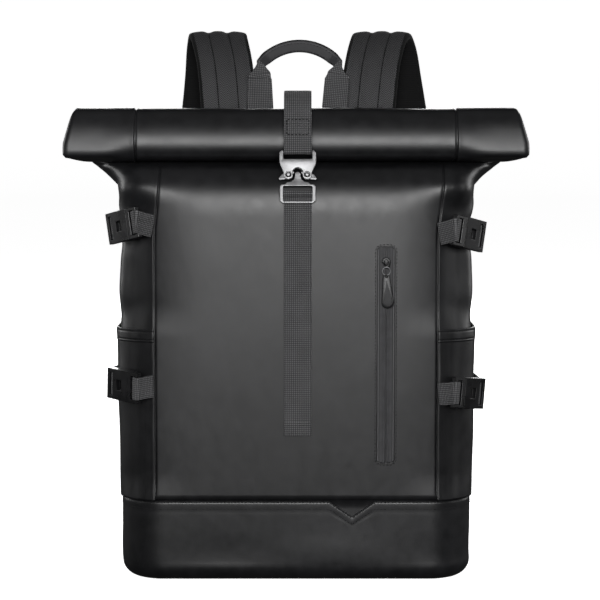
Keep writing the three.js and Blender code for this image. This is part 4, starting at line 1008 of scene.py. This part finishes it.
# points in the closing strap's own plane
def strapPoints(y, z):
    return pointsAt(closing["x"], y, z)


# closing strap: up the back, over the roll and round the housing's bar, and from the tongue's pin down the front
def upperStrap():
    lie = closing["fit"] + closing["wall"] / 2
    share = np.array([0.15, 0.3, 0.45, 0.6, 0.85])
    at, near = bezier(backNeck, share), bezier(backNeck, share + 0.002)
    along = unit(near - at)
    lift = lie + closing["lift"] * (0.06 + 0.42 * share ** 2)
    angle = np.radians([50, 70, 90, 110, 130, 150])
    out = lie + closing["lift"] * np.sin(angle) ** 2
    barTop, barHigh = clasp["barTop"], clasp["barHigh"]
    route = smoothPath(np.vstack([
        strapPoints(halfDepth + lie, bag["shoulder"] - np.array([26, 13, 0])),
        strapPoints(at[:, 0] + along[:, 1] * lift, at[:, 1] - along[:, 0] * lift),
        strapPoints(rollY + (bag["rollDepth"] / 2 + out) * np.cos(angle),
                    rollZ + (bag["rollHeight"] / 2 + out) * np.sin(angle)),
        claspPoint(barTop + 16, 1.2), claspPoint(barTop + 8, 1.4)]), 1.0)
    room = 0.2 + closing["wall"] / 2
    loop = barLoop(barTop - barHigh / 2, 0, barHigh / 2 + room, clasp["barWall"] / 2 + room, -1)
    # the strap's end comes back up behind the loop
    tail = claspPoint(np.array([barTop + 6, barTop + 14]), np.array([-1.5, -1.2]))
    path = resample(np.vstack([route, loop, tail]), 0.9)
    addStrip("closingStrapUpper", path, acrossX, closing["width"], closing["wall"], nodes=["front_strap_upper"])
    # the box of stitches that holds the loop, on the strap's outer face
    out = np.cross(tangents(path), acrossX)
    face = path + out * closing["wall"] / 2 * np.sign((out @ np.array([0, -1, 0.3]))[:, None])
    low, high = closing["boxHigh"]
    span = np.nonzero((path[:, 2] > low) & (path[:, 2] < high) & (path[:, 1] < rollY - 12) & (
        np.arange(len(path)) < len(route) / 0.9))[0]
    line, normal = face[span], unit(face[span] - path[span])
    inset = closing["width"] / 2 - closing["inset"]
    sides = [(line + sign * inset * acrossX, normal) for sign in (-1, 1)]
    rungs = [(line[i] + np.outer(np.linspace(-inset, inset, 40), acrossX), normal[i]) for i in (0, -1)]
    addStitches("closingStitches", sides + rungs, radius=0.5)


def lowerStrap():
    wall, end, shoulder = closing["wall"], closing["end"], bag["shoulder"]
    room = clasp["pin"] + clasp["room"] + wall / 2
    over, under = (barLoop(-clasp["pinDrop"], -clasp["pin"], room, room, sign) for sign in (1, -1))
    lie = -halfDepth - closing["fit"] - wall / 2
    level = claspPoint(-clasp["pinDrop"] - room - 2.6, 0)[2]
    down = strapPoints(lie - np.array([0.3, 0.2, 0, 0, 0]), np.array([level, level - 4, shoulder, shoulder - 14, end]))
    path = smoothPath(np.vstack([over[::-3], under[1:12:3], down]), 0.7)
    addStrip("closingStrapLower", path, acrossX, closing["width"], wall, nodes=["front_strap_lower"])
    # end turned under and sewn: a second, shorter layer at the strap's end
    top = end + closing["hem"]
    z = np.linspace(top, end + 0.3, 14)
    fold = strapPoints(lie - wall * 0.62 * smoothStep(-z, -top, -top + 2), z)
    addStrip("closingStrapHem", fold, acrossX, closing["width"] - 0.3, wall)
    inset = closing["width"] / 2 - 2.4
    x = np.linspace(-inset, inset, 40) + closing["x"]
    rows = [pointsAt(x, lie - wall * 1.05, end + up) for up in (2.6, 9.6)]
    addStitches("hemStitches", [(row, frontward) for row in rows], radius=0.33)


upperStrap()
lowerStrap()
print("closing strap made")

# side straps: a buckle that lies across the front corner between two lengths of webbing
buckle = dict(angle=45, standoff=7.5, pocketRoom=1.2, wall=8.6, prong=11.3, socket=29, bar=3.2, slot=4.4,
              taper=0.55, edge=0.9, web=19.5, webWall=1.2, room=0.45)
sideStraps = [("upper", "left", -1, 313.2, 12), ("upper", "right", 1, 306.4, 12), ("lower", "left", -1, 173.8, -2),
              ("lower", "right", 1, 167.0, 7)]


# copy of a node's mesh with its doubles merged, its flat faces joined and its edges rounded
def roundedCopy(name, node, look, edge):
    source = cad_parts[node].data
    corners = np.empty(len(source.loops), int)
    source.loops.foreach_get("vertex_index", corners)
    mesh = mergeDoubles(meshOf(name, pointsOf(source), corners.reshape(-1, 3).tolist()), flatten=True)
    soften = addPiece(name, mesh, look, [node]).modifiers.new("edges", "BEVEL")
    soften.width, soften.segments, soften.limit_method = edge * mm, 3, "ANGLE"
    soften.angle_limit = math.radians(25)
    soften.harden_normals = True


def sideStrap(tier, side, sign, height, lean):
    onPocket = tier == "lower"
    turn, droop = math.radians(buckle["angle"]), math.radians(lean)
    out = np.array([sign * math.sin(turn), -math.cos(turn), 0])
    along = np.array([sign * math.cos(turn), math.sin(turn), 0]) * math.cos(droop) - [0, 0, math.sin(droop)]
    reach = bag["corner"] + buckle["standoff"] + (buckle["pocketRoom"] if onPocket else 0)
    middle = np.array([sign * (halfWidth - bag["corner"]), bag["corner"] - halfDepth, height]) + out * reach
    tilted = np.cross(along, out) * -sign
    end = (buckle["prong"] + buckle["socket"]) / 2
    start = -end

    def at(x, n):
        return middle + along * x + out * n

    def lie(share, lift=0.0):
        under = pocketGap(share, height) + pocket["wall"] if onPocket else 0.0
        return sideWall(sign, share, under + bag["fit"] + buckle["webWall"] / 2 + lift, height)

    # the prong's and the socket's end bars, with the webbing's height over them
    bar = buckle["bar"]
    over = [buckle["wall"] / 2 * lerp(buckle["taper"], 1, bar / length) + buckle["room"] + buckle["webWall"] / 2
            for length in (buckle["prong"], buckle["socket"])]
    slotIn, slotOut = start + bar + buckle["slot"] / 2, end - bar - buckle["slot"] / 2
    barStart = at(start - 2, over[0] + 0.3)
    climb = lerp(lie(0.01), barStart, 0.5) + out * 0.6
    front = [lie(0.005), climb, barStart, at(start + bar / 2, over[0] + 0.3), at(start + bar + 0.7, over[0] - 0.2),
             at(slotIn + 0.3, 1.2), at(slotIn + 0.3, -2)]
    back = [lie(0.765), lie(0.68, 0.6), at(end + 5, -over[1] - 0.3), at(end - bar / 2, -over[1] - 0.3),
            at(end - bar - 0.7, -over[1] + 0.2), at(slotOut - 0.3, -1.2), at(slotOut - 0.3, 2)]
    piece, node = tier.capitalize() + side.capitalize(), "_" + tier + "_" + side
    for part, points in (("Front", front), ("Back", back)):
        path = smoothPath(points, 0.8)
        # the webbing turns from upright to the buckle's tilt as it comes to the bar
        third = np.linalg.norm(path - points[2], axis=1).argmin()
        share = smoothStep(np.arange(len(path)), 0.7 * third, 1.3 * third)[:, None]
        addStrip("sideWeb" + part + piece, path, lerp(np.array([0, 0, 1.0]), tilted, share), buckle["web"],
                 buckle["webWall"], nodes=["side_web_" + part.lower() + node])
    for part in ("prong", "socket"):
        roundedCopy("buckle" + part.capitalize() + piece, "side_buckle_" + part + node, "plastic", buckle["edge"])


for strap in sideStraps:
    sideStrap(*strap)
print("side straps made")

# carrying handle: a flat folded band between two webbing tabs, whose pointed tops cover its ends; each tab is a
# table of heights with its outer and inner edge there
handle = dict(x=3, span=71, rise=16, top=471.3, high=11.6, deep=9, endDeep=3, endLength=4, rows=(2.4, -4.4))
tabEdges = dict(
    Left=np.array([(297, -46, -21), (415, -44.8, -21.1), (442, -44.7, -22.6), (446.2, -42.3, -23.4),
                   (451.8, -38.5, -28), (457.6, -35.0, -33.6)]),
    Right=np.array([(297, 23, 48), (415, 23.7, 47.4), (442, 26.3, 48.8), (446.6, 28.9, 46.0),
                    (452.2, 34.6, 42.6), (457.4, 38.6, 40.0)]))
gripRadius = ((handle["span"] / 2) ** 2 + handle["rise"] ** 2) / (2 * handle["rise"])
gripTurn = math.asin(handle["span"] / 2 / gripRadius)
gripY = halfDepth + closing["fit"] + closing["wall"] / 2


def carryHandle():
    last = 1 + handle["endLength"] / gripRadius / gripTurn
    share = np.linspace(-last, last, 130)
    turn = share * gripTurn
    out = pointsAt(np.sin(turn), 0, np.cos(turn))
    share = np.abs(share)
    atEnd = smoothStep(share, 0.72, 1)
    high = handle["high"] * (1 - 0.16 * smoothStep(share, 0.8, 1) - 0.5 * smoothStep(share, 1, last))
    deep = lerp(handle["deep"], handle["endDeep"], atEnd)
    path = pointsAt(handle["x"] + gripRadius * np.sin(turn), gripY + 1.2 * atEnd,
                    handle["top"] - gripRadius * (1 - np.cos(turn)))
    addStrip("handleGrip", path, out, high, deep, "band", ["handle_grip"])
    front = path + np.outer(deep / 2 - 0.05, frontward)
    addStitches("handleStitches", [((front + out * row)[10:-10], frontward) for row in handle["rows"]])
    for name, edges in tabEdges.items():
        z = np.concatenate([np.linspace(edges[0, 0], 440, 60), np.linspace(440.5, edges[-1, 0], 26)])
        outer, inner = (np.interp(z, edges[:, 0], edges[:, k]) for k in (1, 2))
        path = pointsAt((outer + inner) / 2, gripY - 1.6 * smoothStep(z, 428, 448), z)
        addStrip("handleTab" + name, path, acrossX, inner - outer, closing["wall"],
                 nodes=["handle_tab_" + name.lower()])


carryHandle()
print("handle made")

# shoulder straps; the route's columns are: the rise as a share of the peak, or of the drop where negative; the reach
# as a share of the distance behind the back; the spread as a share of the way outwards; the sway as a share of the
# lean to the right; and the width and the loft as shares of the pad's width and thickness
strapPad = dict(width=54, wall=12, x=67, spread=44, sway=7.5, peak=158.5, drop=150, reach=47, rows=150, slim=0.86,
                channels=(-0.34, 0.34), pinch=0.62, lining=60)
padRoute = np.array([
    (-0.14, 0.078, -0.12, 0.2, 0.92, 0.25), (0, 0.115, -0.13, 0.2, 0.94, 0.5),
    (0.26, 0.19, -0.12, 0.22, 0.98, 0.9), (0.58, 0.26, -0.06, 0.25, 0.97, 1), (0.84, 0.35, 0.04, 0.3, 0.96, 1),
    (0.97, 0.52, 0.16, 0.35, 0.98, 1), (1, 0.72, 0.23, 0.45, 1, 1), (0.93, 0.92, 0.32, 0.65, 1, 1),
    (0.76, 1, 0.4, 0.85, 1, 1), (0.5, 0.97, 0.53, 1, 1, 1), (0.16, 0.82, 0.74, 0.85, 1, 1),
    (-0.3, 0.6, 0.95, 0.4, 0.98, 1), (-0.68, 0.45, 1, 0.1, 0.86, 0.95), (-1, 0.38, 1, 0, 0.6, 0.4)])


# the pad's middle line with its width and loft, by the nearest row of the table beside each point
def padPath(sign):
    pad = strapPad
    rise, reach, spread, sway, width, loft = padRoute.T
    points = np.stack([sign * (pad["x"] + pad["spread"] * spread) + pad["sway"] * sway,
                       halfDepth + pad["reach"] * reach,
                       bag["shoulder"] + rise * np.where(rise < 0, pad["drop"], pad["peak"])], 1)
    run = smoothPath(points, 1.0)
    mark = np.array([np.linalg.norm(run - p, axis=1).argmin() for p in points])
    share = np.linspace(0, len(run) - 1, pad["rows"])
    return valuesAt(share, np.arange(len(run)), run), np.interp(share, mark, width), np.interp(share, mark, loft)


def shoulderStrap(side, sign):
    path, width, loft = padPath(sign)
    out = unit(np.cross(acrossX, tangents(path)))
    turn = fullTurn(56)
    u, v = signedPower(np.cos(turn), 0.8), np.sin(turn)
    # the outer side has sewn channels
    beside = [sum(bell(u, channel, wide) for channel in strapPad["channels"]) for wide in (0.07, 0.09)]
    pinch = 1 - strapPad["pinch"] * beside[0] * (v < 0)
    across = strapPad["width"] / 2 * width[:, None] * u
    thick = -strapPad["wall"] / 2 * strapPad["slim"] * loft[:, None] * signedPower(v, 0.5) * pinch
    grid = path[:, None] + across[..., None] * acrossX + out[:, None] * thick[..., None]
    # across on the face with the channels, and past its edge on the lining
    lap = np.where(v > -0.05, strapPad["lining"], across)
    uv = pointsAt(wayAlong(path)[:, None], np.concatenate([lap, lap[:, :1]], 1))
    name = "shoulderStrap" + side.capitalize()
    mesh = faceOut(gridMesh(name, grid, poles=(True, True), uv=uv))
    piece = addPiece(name, mesh, "pad", ["shoulder_strap_" + side])
    hold = np.tile(np.clip(beside[1] + (np.abs(u) > 0.95), 0, 1), len(path))
    hold = np.concatenate([hold, [1, 1]])
    hold[:len(turn)] = hold[-len(turn) - 2:] = 1
    puffPad(piece, hold)
    smoothing = piece.modifiers.new("round", "SUBSURF")
    smoothing.levels = smoothing.render_levels = 1


# swells a pad by pressure with its seams held, and caps how far any point moved
puff = dict(pressure=3.0, frames=18, cap=4.5, quality=6, stiffness=12)


def puffPad(piece, hold):
    group = piece.vertex_groups.new(name="sewn")
    for level in (0.25, 0.5, 0.75, 1.0):
        group.add(np.nonzero((hold > level - 0.25) & (hold <= level))[0].tolist(), level, "REPLACE")
    before = pointsOf(piece.data)
    cloth = piece.modifiers.new("cloth", "CLOTH")
    settings = cloth.settings
    settings.use_pressure, settings.uniform_pressure_force = True, puff["pressure"]
    settings.vertex_group_mass = "sewn"
    settings.effector_weights.gravity = 0
    settings.quality = puff["quality"]
    settings.tension_stiffness = settings.compression_stiffness = puff["stiffness"]
    scene = bpy.context.scene
    cloth.point_cache.frame_start, cloth.point_cache.frame_end = 1, puff["frames"]
    for step in range(1, puff["frames"] + 1):
        scene.frame_set(step)
    move = pointsOf(piece.evaluated_get(bpy.context.evaluated_depsgraph_get()).data) - before
    piece.modifiers.remove(cloth)
    scene.frame_set(1)
    length = np.linalg.norm(move, axis=1, keepdims=True)
    move *= np.minimum(1, puff["cap"] * mm / np.maximum(length, 1e-9))
    piece.data.vertices.foreach_set("co", (before + move).ravel())
    piece.data.update()
    piece.vertex_groups.remove(group)
    print("padded", piece.name, "moved", round(float(length.max() / mm), 1), "mm at most")


shoulderStrap("left", -1)
shoulderStrap("right", 1)
print("shoulder straps made")

# lower ends of the shoulder straps, which the bag hides: webbing, adjuster and anchor
for side in ("left", "right"):
    for part, look, edge in (("adjuster", "plastic", 0.5), ("webbing", "plain", 0.25), ("anchor", "plain", 0.25)):
        roundedCopy("strap" + part.capitalize() + side.capitalize(), "strap_" + part + "_" + side, look, edge)
print("strap ends made")

# camera at the photograph's place: 1.7 m from the front panel, a little above the roll, pitched down
view = dict(distance=1.7, height=0.4154, pitch=5.59, side=0.00345, lens=118.3)


def addCamera():
    data = bpy.data.cameras.new("camera")
    data.lens, data.sensor_width = view["lens"], 36
    data.clip_start, data.clip_end = 0.05, 50
    camera = bpy.data.objects.new("camera", data)
    camera.location = (view["side"], -halfDepth * mm - view["distance"], view["height"])
    camera.rotation_euler = (math.radians(90 - view["pitch"]), 0, 0)
    bpy.context.scene.collection.objects.link(camera)
    bpy.context.scene.camera = camera


# round floor that curves up into a wall on all sides: a profile of floor, quarter circle and wall turned about Z;
# it glows a little, so that it stays pale round the soft shadow, and sends no light back to the bag
studio = dict(floor=7.5, bend=1.2, wall=7.0, glow=0.95, world=0.03)


def addStudio():
    curve = np.linspace(0, np.pi / 2, 20)
    reach = np.concatenate([[0.5], studio["floor"] + studio["bend"] * np.sin(curve),
                            [studio["floor"] + studio["bend"]]])[:, None]
    high = np.concatenate([[0], studio["bend"] * (1 - np.cos(curve)), [studio["wall"]]])[:, None]
    turn = fullTurn(96)
    grid = pointsAt(reach * np.cos(turn), reach * np.sin(turn), high)
    mesh = gridMesh("backdrop", grid / mm, poles=(True, False))
    shade = Shader("backdrop", 0.9, specular=0.1)
    mesh.materials.append(shade.set(**{"Base Color": (0.9, 0.9, 0.9, 1), "Emission Color": (1, 1, 1, 1),
                                       "Emission Strength": studio["glow"]}))
    mesh.polygons.foreach_set("use_smooth", np.ones(len(mesh.polygons), bool))
    backdrop = bpy.data.objects.new("backdrop", mesh)
    bpy.context.scene.collection.objects.link(backdrop)
    backdrop.visible_diffuse = backdrop.visible_glossy = False


# soft lights: name, size, place, aim and power
lamps = [("front", (1.3, 0.9), (0.05, -2.4, 0.77), (0, 0, 0.35), 52),
         ("left", (0.4, 1.4), (-2.0, -0.6, 0.7), (0, 0, 0.25), 3),
         ("right", (0.4, 1.4), (2.0, -0.6, 0.7), (0, 0, 0.25), 5),
         ("top", (2.4, 1.6), (0, -0.4, 2.6), (0, 0, 0.3), 2),
         ("back", (1.6, 1.2), (0.2, 2.3, 1.0), (0, 0, 0.3), 55),
         ("backLeft", (0.7, 1.4), (-2.1, 1.0, 0.8), (0, 0, 0.25), 14),
         ("backRight", (0.7, 1.4), (2.1, 1.0, 0.8), (0, 0, 0.25), 14)]


def addLights():
    for name, size, place, aim, power in lamps:
        data = bpy.data.lights.new(name, "AREA")
        data.shape, data.size, data.size_y = "RECTANGLE", *size
        data.energy = power
        light = bpy.data.objects.new(name, data)
        light.location = place
        light.rotation_euler = (Vector(aim) - Vector(place)).to_track_quat("-Z", "Y").to_euler()
        light.visible_camera = False
        bpy.context.scene.collection.objects.link(light)
    world = bpy.data.worlds.new("studio")
    world.use_nodes = True
    colour, strength = world.node_tree.nodes["Background"].inputs[:2]
    colour.default_value, strength.default_value = (1, 1, 1, 1), studio["world"]
    bpy.context.scene.world = world


addCamera()
addStudio()
addLights()
bpy.context.scene.view_settings.view_transform = "Standard"
print("studio made")
